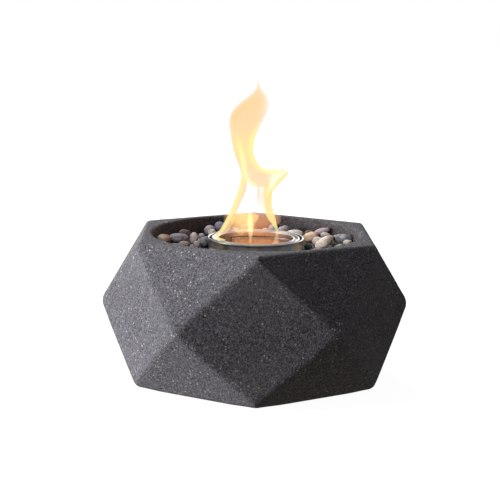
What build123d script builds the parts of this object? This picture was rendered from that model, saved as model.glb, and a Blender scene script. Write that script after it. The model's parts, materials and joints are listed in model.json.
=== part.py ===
from build123d import *
import os
from math import atan2, cos, pi, radians, sin, sqrt

os.makedirs("parts", exist_ok=True)

# Tabletop fire bowl. Millimetres, +Z up, origin on the table under the middle of the bowl.
# Azimuth 0 is the front (-Y) and turns towards +X.

# ---- driving dimensions: cast bowl
HEIGHT = 142.0  # table to rim
WAIST_R = 152.5  # sharp corner of the widest hexagon
TOP_R = 127.8  # sharp corner of the top hexagon
BASE_R = 130.7  # sharp corner of the base hexagon
WAIST_SHARE = 0.504  # height of the waist, as a share of the casting's height
EDGE_R = 7.0  # rounding of every cast edge and corner
PAD_T = 1.2  # foot pad thickness, so the casting starts here

# ---- tray for the pebbles and well for the burner
TRAY_R_TOP = 102.0  # tray wall, at the rim plane
TRAY_R_FLOOR = 94.6
TRAY_FLOOR_Z = 116.0
TRAY_LIP_R = 3.5  # rounding between tray wall and rim
WELL_R = 47.0
WELL_FLOOR_Z = 39.1
WELL_LIP_R = 0.6

# ---- foot pads
PAD_R = 9.0
PAD_RING_R = 92.0

# ---- burner: one drawn steel cup with a rolled lip
BURNER_TOP_Z = 136.8
BURNER_R = 46.2  # outside of the wall
BURNER_T = 0.8
LIP_TUBE_R = 0.9
LIP_R = 47.2  # outermost
BURNER_CORNER_R = 2.4

# ---- standard gel fuel can, standing in the burner
CAN_WALL_R = 42.2
CAN_WALL_T = 0.4
SEAM_R = 43.2  # outside of both double seams
SEAM_H = 3.2
CAN_TOP_Z = 136.6
MOUTH_R = 36.8
GEL_TOP_Z = 120.9

CASTING_H = HEIGHT - PAD_T


def ring(radius, z, first):
    """Six corners of a hexagon, the first at azimuth `first` degrees."""
    return [
        Vector(radius * sin(radians(first + 60 * k)), -radius * cos(radians(first + 60 * k)), z)
        for k in range(6)
    ]


def unit_normal(a, b, c, centre):
    n = (b - a).cross(c - a).normalized()
    return n if n.dot(a - centre) > 0 else n * -1


def faceted_casting():
    """Hexagonal top and base, waist turned by 30 degrees, every edge and corner rounded by EDGE_R. The sharp body is drawn EDGE_R inside the outer planes, then grown by EDGE_R."""
    waist_z = CASTING_H * WAIST_SHARE
    top, waist, base = ring(TOP_R, CASTING_H, 0), ring(WAIST_R, waist_z, 30), ring(BASE_R, 0, 0)
    centre = Vector(0, 0, CASTING_H / 2)
    planes = [
        (unit_normal(*t, centre), t[0])
        for t in (
            (top[0], waist[0], waist[5]),
            (base[0], waist[0], waist[5]),
            (top[0], top[1], waist[0]),
            (base[0], base[1], waist[0]),
        )
    ]

    def short(k, p):
        """How far p lies inside plane k, less EDGE_R."""
        n, q = planes[k]
        return n.dot(q - p) - EDGE_R

    # A corner drawn in by EDGE_R from each of its planes: a least squares answer, because more than three meet.
    def corner_radius(sharp, z, upright, slanted):
        at = lambda r: Vector(0, -r, z)
        steps = [sharp - 3 * EDGE_R + 0.01 * i for i in range(int(300 * EDGE_R))]
        return min(steps, key=lambda r: short(upright, at(r)) ** 2 + 2 * short(slanted, at(r)) ** 2)

    in_top = corner_radius(TOP_R, CASTING_H - EDGE_R, 0, 2)
    in_base = corner_radius(BASE_R, EDGE_R, 1, 3)
    best = None
    for i in range(160):
        r = WAIST_R - 2 * EDGE_R + 0.1 * i
        for j in range(-30, 31):
            z = waist_z + 0.1 * j
            p = Vector(r * sin(radians(30)), -r * cos(radians(30)), z)
            miss = 2 * short(0, p) ** 2 + 2 * short(1, p) ** 2 + short(2, p) ** 2 + short(3, p) ** 2
            if best is None or miss < best[0]:
                best = (miss, r, z)
    _, in_waist, in_waist_z = best
    print("drawn-in corners", round(in_top, 2), round(in_waist, 2), round(in_waist_z, 2), round(in_base, 2))

    top = ring(in_top, CASTING_H - EDGE_R, 0)
    waist = ring(in_waist, in_waist_z, 30)
    base = ring(in_base, EDGE_R, 0)
    flat = lambda *p: Face(Wire.make_polygon(list(p), close=True))
    faces = [flat(*top), flat(*base)]
    for k in range(6):
        n = (k + 1) % 6
        faces += [
            flat(top[k], waist[k], waist[k - 1]),
            flat(base[k], waist[k], waist[k - 1]),
            flat(top[k], top[n], waist[k]),
            flat(base[k], base[n], waist[k]),
        ]
    core = Solid(Shell(faces))
    grown = offset(core, amount=EDGE_R, kind=Kind.ARC).solids()[0]
    return Pos(0, 0, PAD_T) * grown


def turned(points):
    """A solid of revolution about Z from (r, z) points."""
    face = Face(Wire.make_polygon([Vector(r, 0, z) for r, z in points], close=True))
    return revolve(face, Axis.Z, 360)


def bowl_shell():
    """The faceted casting, less the tray and the well. The rim's inner edge and the well's mouth are rounded."""
    slope = (TRAY_R_TOP - TRAY_R_FLOOR) / (HEIGHT - TRAY_FLOOR_Z)
    lean = sqrt(1 + slope * slope)
    over = 12.0
    at = lambda r, z: Vector(r, 0, z)
    # rim rounding: tangent to the leaning wall and to the rim plane
    r, cz = TRAY_LIP_R, HEIGHT - TRAY_LIP_R
    cr = TRAY_R_TOP - slope * TRAY_LIP_R + r * lean
    on_wall = at(cr - r / lean, cz + r * slope / lean)
    half = (atan2(slope, -1) + pi / 2) / 2
    crown = at(cr + r * cos(half), cz + r * sin(half))
    on_rim = at(cr, HEIGHT)
    w = WELL_LIP_R
    low = at(WELL_R, TRAY_FLOOR_Z - w)
    mid = at(WELL_R + w - w * cos(pi / 4), TRAY_FLOOR_Z - w + w * sin(pi / 4))
    high = at(WELL_R + w, TRAY_FLOOR_Z)
    lines = [
        Edge.make_line(at(0, WELL_FLOOR_Z), at(WELL_R, WELL_FLOOR_Z)),
        Edge.make_line(at(WELL_R, WELL_FLOOR_Z), low),
        Edge.make_three_point_arc(low, mid, high),
        Edge.make_line(high, at(TRAY_R_FLOOR, TRAY_FLOOR_Z)),
        Edge.make_line(at(TRAY_R_FLOOR, TRAY_FLOOR_Z), on_wall),
        Edge.make_three_point_arc(on_wall, crown, on_rim),
        Edge.make_line(on_rim, at(cr, HEIGHT + over)),
        Edge.make_line(at(cr, HEIGHT + over), at(0, HEIGHT + over)),
        Edge.make_line(at(0, HEIGHT + over), at(0, WELL_FLOOR_Z)),
    ]
    return faceted_casting() - revolve(Face(Wire(lines)), Axis.Z, 360)


def foot_pads():
    pads = []
    for k in range(6):
        a = radians(60 * k)
        pads.append(
            Pos(PAD_RING_R * sin(a), -PAD_RING_R * cos(a), PAD_T / 2) * Cylinder(PAD_R, PAD_T)
        )
    return pads


def burner_cup():
    """Drawn cup: outer and inner wall with rounded bottom corners, and a bead rolled outwards at the top."""
    r, t, c = BURNER_R, BURNER_T, BURNER_CORNER_R
    z0, z1 = WELL_FLOOR_Z, BURNER_TOP_Z - LIP_TUBE_R
    outer = Pos(0, 0, (z0 + z1) / 2) * Cylinder(r, z1 - z0)
    outer = fillet(outer.edges().sort_by(Axis.Z)[0], c)
    inner = Pos(0, 0, (z0 + t + z1 + 20) / 2) * Cylinder(r - t, z1 + 20 - z0 - t)
    inner = fillet(inner.edges().sort_by(Axis.Z)[0], c - t)
    bead = Pos(0, 0, BURNER_TOP_Z - LIP_TUBE_R) * Torus(LIP_R - LIP_TUBE_R, LIP_TUBE_R)
    return (outer - inner) + bead


def can_body():
    z0, z1 = WELL_FLOOR_Z + BURNER_T + SEAM_H, CAN_TOP_Z - SEAM_H
    tube = Pos(0, 0, (z0 + z1) / 2) * Cylinder(CAN_WALL_R, z1 - z0)
    return tube - Pos(0, 0, (z0 + z1) / 2) * Cylinder(CAN_WALL_R - CAN_WALL_T, z1 - z0 + 10)


def can_base():
    """Bottom end: a double seam round a panel set up inside it."""
    z0 = WELL_FLOOR_Z + BURNER_T
    panel_z, inner = z0 + 2.4, SEAM_R - 1.7
    solid = turned(
        [
            (0, panel_z),
            (inner - 1.0, panel_z),
            (inner, z0 + 0.5),
            (inner + 0.3, z0),
            (SEAM_R - 0.3, z0),
            (SEAM_R, z0 + 0.3),
            (SEAM_R, z0 + SEAM_H),
            (inner, z0 + SEAM_H),
            (inner - 1.2, panel_z + 0.5),
            (0, panel_z + 0.5),
        ]
    )
    return solid


def can_top_ring():
    """Top end: double seam outside, a channel, and the rolled seat of the pry lid inside."""
    top = CAN_TOP_Z
    arc = lambda cr, cz, rad, a0, a1, n: [
        (cr + rad * cos(radians(a0 + (a1 - a0) * i / n)), cz + rad * sin(radians(a0 + (a1 - a0) * i / n)))
        for i in range(n + 1)
    ]
    points = (
        arc(SEAM_R - 0.9, top - 0.9, 0.9, 0, 180, 10)
        + [(SEAM_R - 1.9, top - 2.2)]
        + [(MOUTH_R + 2.2, top - 2.5)]
        + [(MOUTH_R + 1.7, top - 1.4)]
        + arc(MOUTH_R + 0.8, top - 1.1, 0.8, 20, 180, 8)
        + [(MOUTH_R, top - 5.0), (MOUTH_R + 0.5, top - 5.0), (MOUTH_R + 0.7, top - 3.1), (SEAM_R - 1.9, top - 2.9)]
        + [(SEAM_R - 1.6, top - SEAM_H), (SEAM_R, top - SEAM_H)]
    )
    return turned(points)


def gel_fuel():
    """Gel that fills the can to a flat level."""
    z0 = WELL_FLOOR_Z + BURNER_T + 2.9 + 0.05
    r = CAN_WALL_R - CAN_WALL_T - 0.05
    solid = turned([(0, z0), (SEAM_R - 2.9, z0), (r, z0 + 0.8), (r, GEL_TOP_Z), (0, GEL_TOP_Z)])
    return solid


# ---- pebbles: (centre x, y, z), (half length, half width, half thickness), (turns about X, Y and Z, degrees)
PEBBLES = {
    "pebble_tan_left": [
        ((-90.43, 15.53, 131.29), (6.78, 7.58, 3.98), (5.5, 3.1, 10.2)),
    ],
    "pebble_slate_left": [
        ((-76.74, 30.37, 129.4), (10.38, 7.78, 4.48), (5.0, -2.0, -6.0)),
    ],
    "pebble_plum_left_back": [
        ((-71.35, 49.68, 131.0), (6.18, 5.18, 3.78), (8.0, -0.0, 12.0)),
    ],
    "pebble_speckled_left": [
        ((-61.26, 29.11, 129.6), (4.08, 4.38, 5.98), (-0.0, -0.0, 0.0)),
    ],
    "pebble_mauve_left": [
        ((-46.34, 68.7, 131.37), (5.68, 4.98, 4.88), (-0.0, -8.0, 15.0)),
    ],
    "pebble_violet_back_left": [
        ((-35.65, 82.2, 132.88), (5.98, 4.98, 4.98), (-0.6, 9.3, -6.8)),
    ],
    "pebble_white_left": [
        ((-54.01, 44.65, 129.4), (3.18, 3.28, 2.68), (0.0, -0.0, 10.0)),
    ],
    "pebble_pale_green_left": [
        ((-43.69, 58.81, 129.93), (4.08, 4.98, 3.88), (8.0, -6.0, -0.0)),
    ],
    "pebble_cream_left_front": [
        ((-70.44, 7.04, 127.03), (6.18, 4.98, 3.38), (-0.4, -0.0, -0.2)),
    ],
    "pebble_pink_left_front": [
        ((-57.59, 5.69, 127.4), (3.48, 3.98, 3.88), (0.0, -8.0, -0.0)),
    ],
    "pebble_blue_beside_burner": [
        ((-51.6, 13.88, 128.44), (4.58, 4.98, 5.08), (0.3, 0.2, -0.1)),
    ],
    "pebble_brown_back": [
        ((30.2, 77.33, 131.2), (5.98, 5.18, 3.98), (0.0, -10.0, 10.0)),
    ],
    "pebble_olive_right": [
        ((40.99, 56.58, 130.1), (9.38, 6.78, 4.48), (0.0, 0.0, 6.1)),
    ],
    "pebble_dark_plum_right": [
        ((54.93, 52.31, 130.38), (5.18, 5.38, 3.78), (-0.1, -4.0, 8.1)),
    ],
    "pebble_tan_right": [
        ((56.0, 39.55, 129.92), (7.98, 6.98, 4.78), (0.0, -14.0, 12.0)),
    ],
    "pebble_pink_right_back": [
        ((69.31, 60.14, 132.71), (8.18, 4.98, 3.38), (0.0, -14.0, 10.0)),
    ],
    "pebble_grey_white_right": [
        ((71.86, 46.3, 131.0), (5.18, 4.18, 3.08), (0.0, 6.0, -6.0)),
    ],
    "pebble_lilac_right": [
        ((62.29, 26.85, 128.8), (5.28, 5.08, 3.88), (0.0, -14.0, 20.0)),
    ],
    "pebble_beige_right": [
        ((68.86, 14.97, 129.6), (10.98, 6.58, 4.98), (0.0, -29.0, 16.0)),
    ],
    "pebble_grey_right": [
        ((87.11, 21.48, 131.82), (9.58, 7.78, 4.98), (-0.2, 1.3, -20.3)),
    ],
    "pebble_cream_right": [
        ((91.14, 9.63, 130.71), (4.38, 3.58, 2.48), (0.0, -10.0, -10.0)),
    ],
    "pebble_dark_green_right": [
        ((52.03, 7.73, 126.33), (3.78, 3.98, 3.18), (0.0, -0.0, -0.0)),
    ],
    "pebbles_top_brown": [
        ((-1.77, -93.34, 125.43), (5.92, 5.81, 3.39), (100.1, -29.7, -7.2)),
        ((-5.74, 91.23, 130.31), (9.69, 5.6, 4.54), (10.9, -0.8, -149.6)),
        ((27.86, -73.92, 127.49), (6.01, 4.93, 3.37), (-29.7, -3.4, 31.0)),
        ((-25.97, -72.9, 128.42), (7.26, 5.3, 3.13), (24.4, -16.3, -80.8)),
        ((-47.55, 24.95, 125.1), (6.32, 7.5, 3.54), (36.5, -42.1, 95.2)),
        ((90.51, -1.59, 121.59), (6.32, 4.92, 3.64), (-32.7, 46.8, -50.7)),
    ],
    "pebbles_top_cream": [
        ((-88.57, -27.62, 127.1), (9.23, 5.5, 3.91), (82.7, -45.2, -70.3)),
        ((19.1, 78.32, 125.51), (7.84, 5.17, 3.29), (-113.4, -2.6, 51.6)),
        ((-79.98, -47.78, 124.22), (3.64, 3.24, 2.55), (1.9, -3.6, -177.2)),
    ],
    "pebbles_top_grey": [
        ((19.93, 50.77, 127.75), (7.13, 7.41, 3.66), (-7.8, 49.2, -90.9)),
        ((59.21, -41.42, 128.84), (6.86, 6.83, 3.68), (26.4, 3.9, -177.8)),
        ((-68.29, -40.36, 129.53), (7.22, 5.64, 3.32), (-8.9, -2.5, 61.4)),
        ((79.87, -19.53, 129.68), (6.25, 6.08, 3.57), (37.2, -9.7, -92.7)),
        ((43.02, -69.68, 127.01), (6.78, 5.71, 3.44), (34.0, 1.6, -65.5)),
        ((20.0, 90.58, 127.9), (6.56, 6.31, 4.5), (-52.9, -25.3, 138.4)),
        ((-57.09, -61.51, 128.14), (6.01, 5.16, 3.18), (-13.8, 38.9, 131.5)),
        ((46.98, -79.03, 123.42), (4.93, 3.87, 3.27), (3.6, -19.5, -70.4)),
        ((-91.54, -15.82, 125.36), (4.0, 3.17, 2.34), (9.1, 13.7, 162.2)),
        ((10.25, -51.12, 124.14), (3.69, 3.29, 2.22), (11.0, -1.0, 62.4)),
        ((64.19, -67.89, 124.29), (3.23, 3.01, 2.11), (8.9, 1.8, 85.2)),
        ((69.43, 36.84, 125.3), (4.69, 3.6, 2.99), (104.2, 34.2, 86.0)),
        ((-10.34, -60.68, 123.89), (4.22, 3.49, 2.84), (5.8, 1.2, 77.9)),
    ],
    "pebbles_top_mauve": [
        ((-47.79, -72.86, 127.65), (5.95, 5.03, 3.47), (5.8, 10.9, 51.7)),
        ((7.33, 59.51, 128.82), (9.44, 4.97, 4.25), (41.2, -39.7, -12.4)),
        ((65.04, -22.26, 124.34), (5.36, 4.75, 3.58), (5.6, -2.3, 170.7)),
    ],
    "pebbles_top_olive": [
        ((-14.11, -91.63, 128.02), (6.41, 5.99, 2.97), (-176.0, 33.9, 104.1)),
        ((39.24, 73.24, 127.55), (6.42, 5.48, 3.49), (19.6, -21.3, -48.5)),
        ((90.93, -12.99, 129.2), (7.98, 5.78, 4.24), (-2.6, 17.2, 68.3)),
        ((-64.67, -54.42, 128.7), (7.41, 7.41, 3.24), (-2.7, -21.6, -22.4)),
        ((82.2, 37.53, 126.52), (7.07, 5.76, 4.28), (33.5, -44.5, -136.5)),
        ((-50.18, 56.1, 122.69), (4.55, 3.71, 2.99), (65.2, -19.8, -63.7)),
        ((41.37, -58.51, 124.17), (4.11, 3.58, 2.61), (-26.1, -6.4, 126.0)),
        ((81.6, -39.16, 122.9), (5.66, 5.04, 3.72), (8.5, -0.1, -39.2)),
    ],
    "pebbles_top_plum": [
        ((17.67, -75.68, 129.43), (6.63, 4.94, 3.36), (6.8, 1.1, -95.1)),
        ((57.18, 67.42, 127.62), (9.93, 5.65, 4.5), (19.1, 2.4, 81.6)),
        ((-22.03, 86.95, 127.57), (8.57, 7.4, 3.44), (7.4, 12.7, -97.4)),
        ((6.95, -78.77, 123.5), (5.64, 4.85, 3.24), (-5.3, -12.5, -12.9)),
    ],
    "pebbles_top_slate": [
        ((-21.05, 57.27, 129.28), (9.55, 7.34, 4.96), (29.1, 15.0, -129.8)),
        ((56.01, -52.93, 129.55), (6.31, 5.15, 3.51), (15.8, 13.2, 119.7)),
        ((-75.63, -22.98, 129.2), (7.18, 7.3, 4.4), (-11.2, 1.3, -45.0)),
        ((-27.22, 73.07, 128.73), (9.36, 5.47, 3.44), (5.8, -9.9, -62.5)),
        ((-35.3, -86.5, 125.22), (6.99, 5.06, 3.41), (95.0, 38.6, -13.1)),
        ((-39.28, 41.78, 127.51), (8.07, 6.25, 4.52), (-20.7, 8.6, 121.6)),
        ((7.21, -88.45, 127.63), (6.2, 5.51, 3.3), (-14.0, 16.0, -17.2)),
        ((-8.78, 67.59, 127.08), (9.43, 5.42, 3.6), (39.5, 16.5, 116.5)),
        ((42.48, -29.9, 125.22), (3.81, 3.3, 2.19), (19.3, -5.2, -151.0)),
        ((-57.04, -11.96, 123.84), (4.09, 3.15, 2.62), (7.9, -1.6, 32.1)),
        ((-74.08, -55.25, 123.54), (4.33, 3.54, 2.91), (-0.7, 22.4, 21.9)),
    ],
    "pebbles_top_tan": [
        ((-56.17, -41.58, 126.76), (7.16, 6.92, 4.27), (32.1, 65.9, 127.2)),
        ((76.43, -35.65, 130.07), (7.37, 6.38, 4.53), (40.0, 12.6, -147.6)),
        ((-44.88, -33.4, 127.13), (10.2, 6.88, 3.39), (-2.0, -13.7, -65.5)),
        ((-9.31, -75.97, 127.23), (7.65, 4.84, 3.6), (-14.0, -1.4, 13.4)),
        ((8.1, -61.91, 125.05), (3.43, 2.82, 1.94), (10.8, 18.1, -18.3)),
    ],
    "pebbles_under_brown": [
        ((-70.89, 49.68, 121.48), (6.5, 5.18, 5.26), (-0.2, 2.9, -5.6)),
        ((-57.92, 6.73, 119.65), (4.78, 4.38, 3.43), (1.0, -2.1, 10.0)),
        ((41.81, 57.11, 120.7), (7.38, 6.38, 4.48), (-2.9, -1.3, 1.7)),
        ((68.0, 55.56, 122.09), (7.38, 4.98, 6.11), (28.7, 0.7, 7.1)),
        ((67.16, 45.52, 121.7), (5.45, 4.38, 5.61), (17.9, -41.1, -15.1)),
        ((2.36, 70.83, 121.02), (8.31, 8.1, 4.76), (4.8, 3.4, -121.6)),
        ((-51.14, -65.41, 121.21), (9.79, 6.8, 4.85), (12.2, -4.6, 23.8)),
        ((-59.66, 62.24, 121.0), (7.3, 6.27, 4.79), (-1.9, -0.7, -63.0)),
        ((45.43, 32.39, 120.74), (7.72, 5.28, 4.27), (-28.6, 0.5, 104.6)),
        ((-37.38, 73.42, 119.32), (4.72, 3.63, 2.83), (20.9, 15.8, -67.7)),
        ((2.86, 55.56, 119.46), (5.25, 4.31, 3.19), (10.7, 3.9, 123.5)),
        ((22.29, 87.26, 119.13), (5.12, 4.16, 2.92), (-5.0, 0.4, 32.4)),
        ((-92.14, -7.88, 123.31), (4.18, 3.92, 2.81), (1.5, 4.1, -105.1)),
        ((-43.93, -29.31, 119.56), (5.27, 3.87, 3.18), (8.3, -13.6, -84.8)),
        ((-51.31, -16.6, 119.67), (6.42, 4.94, 3.46), (-1.7, -0.7, -81.7)),
        ((6.64, -90.74, 119.7), (5.12, 4.07, 3.24), (-1.6, -19.0, 27.9)),
        ((-36.84, 63.43, 119.85), (4.7, 3.82, 2.58), (-63.0, 10.6, -42.6)),
        ((-50.77, -76.77, 122.31), (4.64, 4.15, 2.78), (-14.5, 12.5, 4.3)),
        ((-49.22, -38.07, 119.0), (5.03, 4.12, 2.76), (-6.1, 5.6, -88.1)),
        ((-11.47, 70.45, 119.14), (5.18, 4.19, 2.88), (1.2, -7.3, -125.6)),
        ((76.9, 42.68, 119.47), (4.83, 4.3, 3.22), (176.7, 7.4, -70.2)),
        ((-54.42, 23.85, 119.67), (5.54, 4.47, 3.24), (14.6, 12.4, -1.7)),
    ],
    "pebbles_under_grey": [
        ((-87.44, 15.14, 121.51), (7.13, 6.38, 5.29), (-0.1, 3.2, 21.5)),
        ((-62.04, 30.31, 119.73), (4.78, 4.38, 3.48), (-7.8, -5.2, -10.2)),
        ((-46.6, 66.77, 121.15), (5.98, 4.98, 4.91), (19.3, -7.3, 23.2)),
        ((-56.09, 50.14, 120.73), (4.78, 4.38, 5.03), (-64.6, -7.8, 16.1)),
        ((-42.16, 57.17, 120.93), (4.78, 4.98, 4.68), (15.8, 16.4, 0.2)),
        ((54.85, 50.91, 121.19), (5.45, 5.38, 4.96), (7.9, -2.3, 26.0)),
        ((56.56, 38.85, 120.37), (7.38, 6.38, 4.12), (4.6, 3.3, 7.3)),
        ((52.77, 8.02, 119.46), (4.78, 4.38, 3.24), (-1.7, -1.9, -6.3)),
        ((13.73, 59.76, 122.04), (10.05, 6.76, 4.45), (41.8, 11.2, -95.4)),
        ((23.73, 67.78, 121.01), (7.25, 5.67, 4.67), (-20.0, 1.8, -58.6)),
        ((28.89, 53.15, 121.25), (8.0, 6.65, 4.29), (31.2, -2.6, -54.6)),
        ((-6.15, -82.89, 120.55), (10.74, 6.61, 4.33), (2.5, -0.1, 159.7)),
        ((0.02, -54.84, 121.92), (8.52, 7.17, 4.4), (-39.9, -2.5, -8.6)),
        ((-31.24, 48.36, 121.18), (8.63, 7.41, 4.96), (2.7, 0.5, 135.9)),
        ((-25.01, 67.69, 120.99), (8.4, 7.39, 4.78), (-0.7, 1.7, 13.3)),
        ((-48.99, 35.26, 120.97), (6.34, 5.44, 4.73), (11.4, 0.3, -84.3)),
        ((51.74, -24.23, 121.7), (9.9, 8.08, 5.03), (-12.8, 11.6, 101.4)),
        ((-10.91, 57.0, 121.65), (9.47, 7.5, 5.38), (-2.8, 5.1, 166.6)),
        ((-23.21, -83.63, 121.99), (8.0, 7.57, 4.39), (36.9, 6.6, -31.5)),
        ((-36.38, -42.41, 121.31), (10.14, 7.27, 5.08), (4.7, 0.9, 141.0)),
        ((16.45, -70.1, 121.24), (9.45, 7.71, 5.03), (-0.1, -0.5, 153.8)),
        ((-18.91, -69.27, 121.37), (8.73, 7.79, 5.16), (0.6, 0.2, -97.0)),
        ((-54.54, -50.87, 120.97), (7.97, 7.75, 4.42), (16.0, 1.2, 157.6)),
        ((-19.57, -52.52, 121.2), (9.21, 7.43, 4.96), (-4.3, 0.4, -16.1)),
        ((19.75, -86.21, 122.26), (10.03, 7.07, 4.44), (-44.3, 10.5, 170.3)),
        ((-55.95, -3.33, 121.01), (6.62, 5.32, 4.74), (13.1, -4.9, 163.9)),
        ((43.58, -37.91, 122.95), (10.16, 6.75, 4.94), (71.2, 10.4, 177.6)),
        ((40.4, 83.5, 122.7), (3.33, 2.95, 2.27), (2.2, 4.1, 47.4)),
        ((73.21, 32.06, 119.73), (6.45, 5.42, 3.49), (2.0, 4.1, -179.8)),
        ((77.52, 51.33, 119.2), (3.87, 3.04, 2.13), (-115.0, -16.6, -52.8)),
        ((57.96, 60.35, 120.33), (5.11, 4.38, 3.08), (46.8, -27.1, -147.3)),
        ((-79.61, 43.37, 118.9), (5.06, 3.99, 2.68), (-1.7, 1.1, 51.2)),
        ((53.85, 28.92, 119.58), (3.79, 3.08, 2.42), (1.8, 53.4, 157.2)),
        ((27.59, -43.15, 121.92), (3.73, 3.38, 2.27), (53.1, 37.5, -166.4)),
        ((-43.67, -50.57, 122.9), (3.38, 3.11, 2.28), (-1.7, -1.6, -120.7)),
        ((-89.37, 1.92, 120.44), (6.53, 5.3, 4.04), (-20.2, 4.6, 46.1)),
        ((72.4, 24.33, 118.98), (3.59, 2.73, 1.94), (-99.3, -13.0, 177.2)),
        ((-63.85, 19.03, 120.41), (6.59, 5.01, 4.07), (-20.3, 0.1, 109.5)),
        ((81.77, 11.44, 118.69), (4.72, 3.91, 2.47), (0.1, 1.3, -57.1)),
        ((59.62, -45.97, 122.92), (4.19, 3.7, 2.96), (-1.8, 3.0, -44.6)),
        ((-80.02, 7.67, 121.89), (4.55, 3.6, 2.63), (13.1, -2.6, -124.8)),
        ((-45.6, 77.16, 119.47), (5.05, 4.3, 3.25), (2.6, 2.7, 100.1)),
        ((-75.21, 18.49, 120.96), (6.26, 5.02, 4.26), (-36.3, 18.8, -36.8)),
        ((-25.13, 86.39, 119.82), (5.68, 4.96, 3.55), (10.5, 2.5, -34.0)),
        ((84.38, 32.02, 120.87), (5.42, 4.46, 3.04), (10.4, 51.7, 83.8)),
        ((-65.69, -60.16, 120.48), (6.1, 5.58, 4.27), (0.9, -1.2, 159.8)),
        ((-70.61, 58.94, 120.17), (4.57, 3.82, 2.9), (-53.4, 38.0, 51.9)),
        ((-63.25, -68.57, 123.43), (3.3, 2.93, 2.3), (0.0, 1.3, 168.6)),
    ],
    "pebbles_under_slate": [
        ((-76.99, 30.64, 120.33), (7.38, 6.38, 4.11), (-0.8, -1.9, 8.4)),
        ((-51.55, 14.41, 119.57), (4.82, 4.98, 3.34), (-4.3, 2.4, -6.3)),
        ((30.85, 81.87, 121.44), (6.29, 5.18, 5.24), (-50.0, 6.4, 7.1)),
        ((62.34, 26.65, 120.3), (5.56, 5.08, 4.08), (2.4, -0.4, 18.4)),
        ((86.18, 20.9, 121.27), (7.38, 6.38, 5.05), (2.8, -0.7, -33.4)),
        ((-69.45, -44.23, 121.1), (8.02, 7.89, 4.89), (-1.1, -0.5, 29.3)),
        ((84.36, -11.86, 121.34), (8.18, 6.64, 4.19), (10.6, 23.8, 92.4)),
        ((47.52, 73.99, 120.91), (9.64, 6.75, 4.69), (2.3, 1.0, 153.5)),
        ((52.63, -67.8, 121.46), (9.96, 7.93, 5.24), (-1.9, 2.3, 136.7)),
        ((-80.55, -34.29, 122.76), (9.42, 7.82, 4.61), (7.3, -34.2, -23.9)),
        ((-1.94, -68.52, 120.97), (8.72, 7.82, 4.72), (2.1, -4.3, 1.1)),
        ((65.33, -57.1, 121.78), (8.28, 8.22, 4.92), (11.7, 20.2, 4.6)),
        ((34.56, -80.45, 121.33), (8.05, 8.31, 4.89), (-5.8, -12.5, 99.3)),
        ((-59.32, -29.58, 120.88), (10.66, 7.32, 4.65), (-1.9, -1.3, -165.7)),
        ((48.87, -50.56, 121.4), (9.81, 7.66, 4.65), (18.4, 8.8, 144.8)),
        ((66.51, -36.31, 120.83), (10.62, 8.16, 4.61), (2.2, -1.7, -44.6)),
        ((32.36, -64.3, 120.84), (8.0, 8.11, 4.52), (-0.7, 8.5, 63.7)),
        ((-34.11, -59.57, 121.78), (10.26, 7.33, 5.16), (-9.3, 12.7, 141.5)),
        ((20.31, -53.38, 121.1), (8.74, 7.92, 4.76), (9.7, -0.6, -119.9)),
        ((-10.93, 85.03, 121.23), (10.55, 8.17, 5.02), (-1.9, -0.5, -118.4)),
        ((-53.8, 72.15, 120.84), (4.83, 4.02, 3.16), (-30.2, 66.2, 96.3)),
        ((-61.3, 41.17, 120.67), (6.47, 5.0, 4.24), (24.4, -9.7, 125.1)),
        ((35.22, 40.71, 120.9), (5.86, 5.37, 4.08), (-17.5, 30.6, -29.6)),
        ((52.0, 19.88, 119.93), (6.26, 5.28, 3.71), (0.4, 0.1, -48.1)),
        ((-88.78, 25.01, 119.27), (3.64, 3.17, 2.5), (-7.0, 41.3, -25.9)),
        ((-13.32, -91.16, 120.77), (4.33, 3.47, 2.94), (-16.3, -1.7, -9.3)),
        ((13.56, 74.97, 119.04), (4.96, 3.93, 2.8), (1.0, 6.8, -84.6)),
        ((-45.17, 46.7, 119.66), (5.92, 5.36, 3.44), (-0.5, -2.9, 9.5)),
        ((33.91, -47.54, 119.63), (5.94, 5.56, 3.4), (-2.6, 1.7, 66.5)),
        ((69.93, 3.99, 121.4), (5.98, 5.08, 4.25), (-4.3, -5.1, -103.6)),
        ((46.74, 44.71, 119.58), (4.63, 4.3, 2.93), (31.6, -3.7, -102.9)),
        ((-73.93, -28.35, 118.44), (4.11, 3.5, 2.23), (0.3, 0.0, -141.4)),
        ((76.31, -49.11, 121.6), (5.5, 4.7, 3.39), (5.6, -7.1, 93.2)),
    ],
    "pebbles_under_tan": [
        ((-35.22, 82.72, 121.58), (6.29, 4.98, 5.37), (-9.8, -3.2, -29.3)),
        ((-70.37, 7.01, 119.71), (6.5, 4.98, 3.48), (-6.0, -0.4, 14.4)),
        ((68.72, 15.94, 119.34), (7.38, 6.38, 3.04), (7.0, -2.2, 14.5)),
        ((80.63, 0.8, 120.61), (4.78, 4.38, 5.75), (93.6, 10.3, -117.2)),
        ((-37.54, -75.41, 121.21), (8.33, 7.98, 4.98), (3.0, 2.1, -4.3)),
        ((-82.55, -15.64, 121.22), (10.11, 7.17, 4.98), (6.4, -0.5, -81.4)),
        ((7.22, 86.88, 122.06), (10.52, 6.81, 5.16), (6.8, -17.3, 162.8)),
        ((-66.94, -17.56, 120.93), (8.32, 6.65, 4.24), (-156.7, -4.2, -159.3)),
        ((57.56, -5.71, 121.8), (9.71, 8.28, 4.69), (26.1, -3.7, -110.4)),
        ((79.67, -25.68, 121.28), (10.03, 7.79, 4.85), (13.7, -0.9, 166.3)),
        ((-69.06, -5.33, 121.76), (6.88, 5.75, 5.48), (16.7, 9.4, 159.9)),
        ((70.56, -10.5, 120.93), (8.55, 6.51, 4.67), (3.9, -4.8, -103.7)),
        ((61.12, 6.34, 118.5), (3.53, 2.82, 2.08), (-10.3, 18.7, 12.3)),
        ((-69.8, 39.1, 119.19), (4.63, 3.84, 2.84), (20.0, -1.2, 129.9)),
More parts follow.
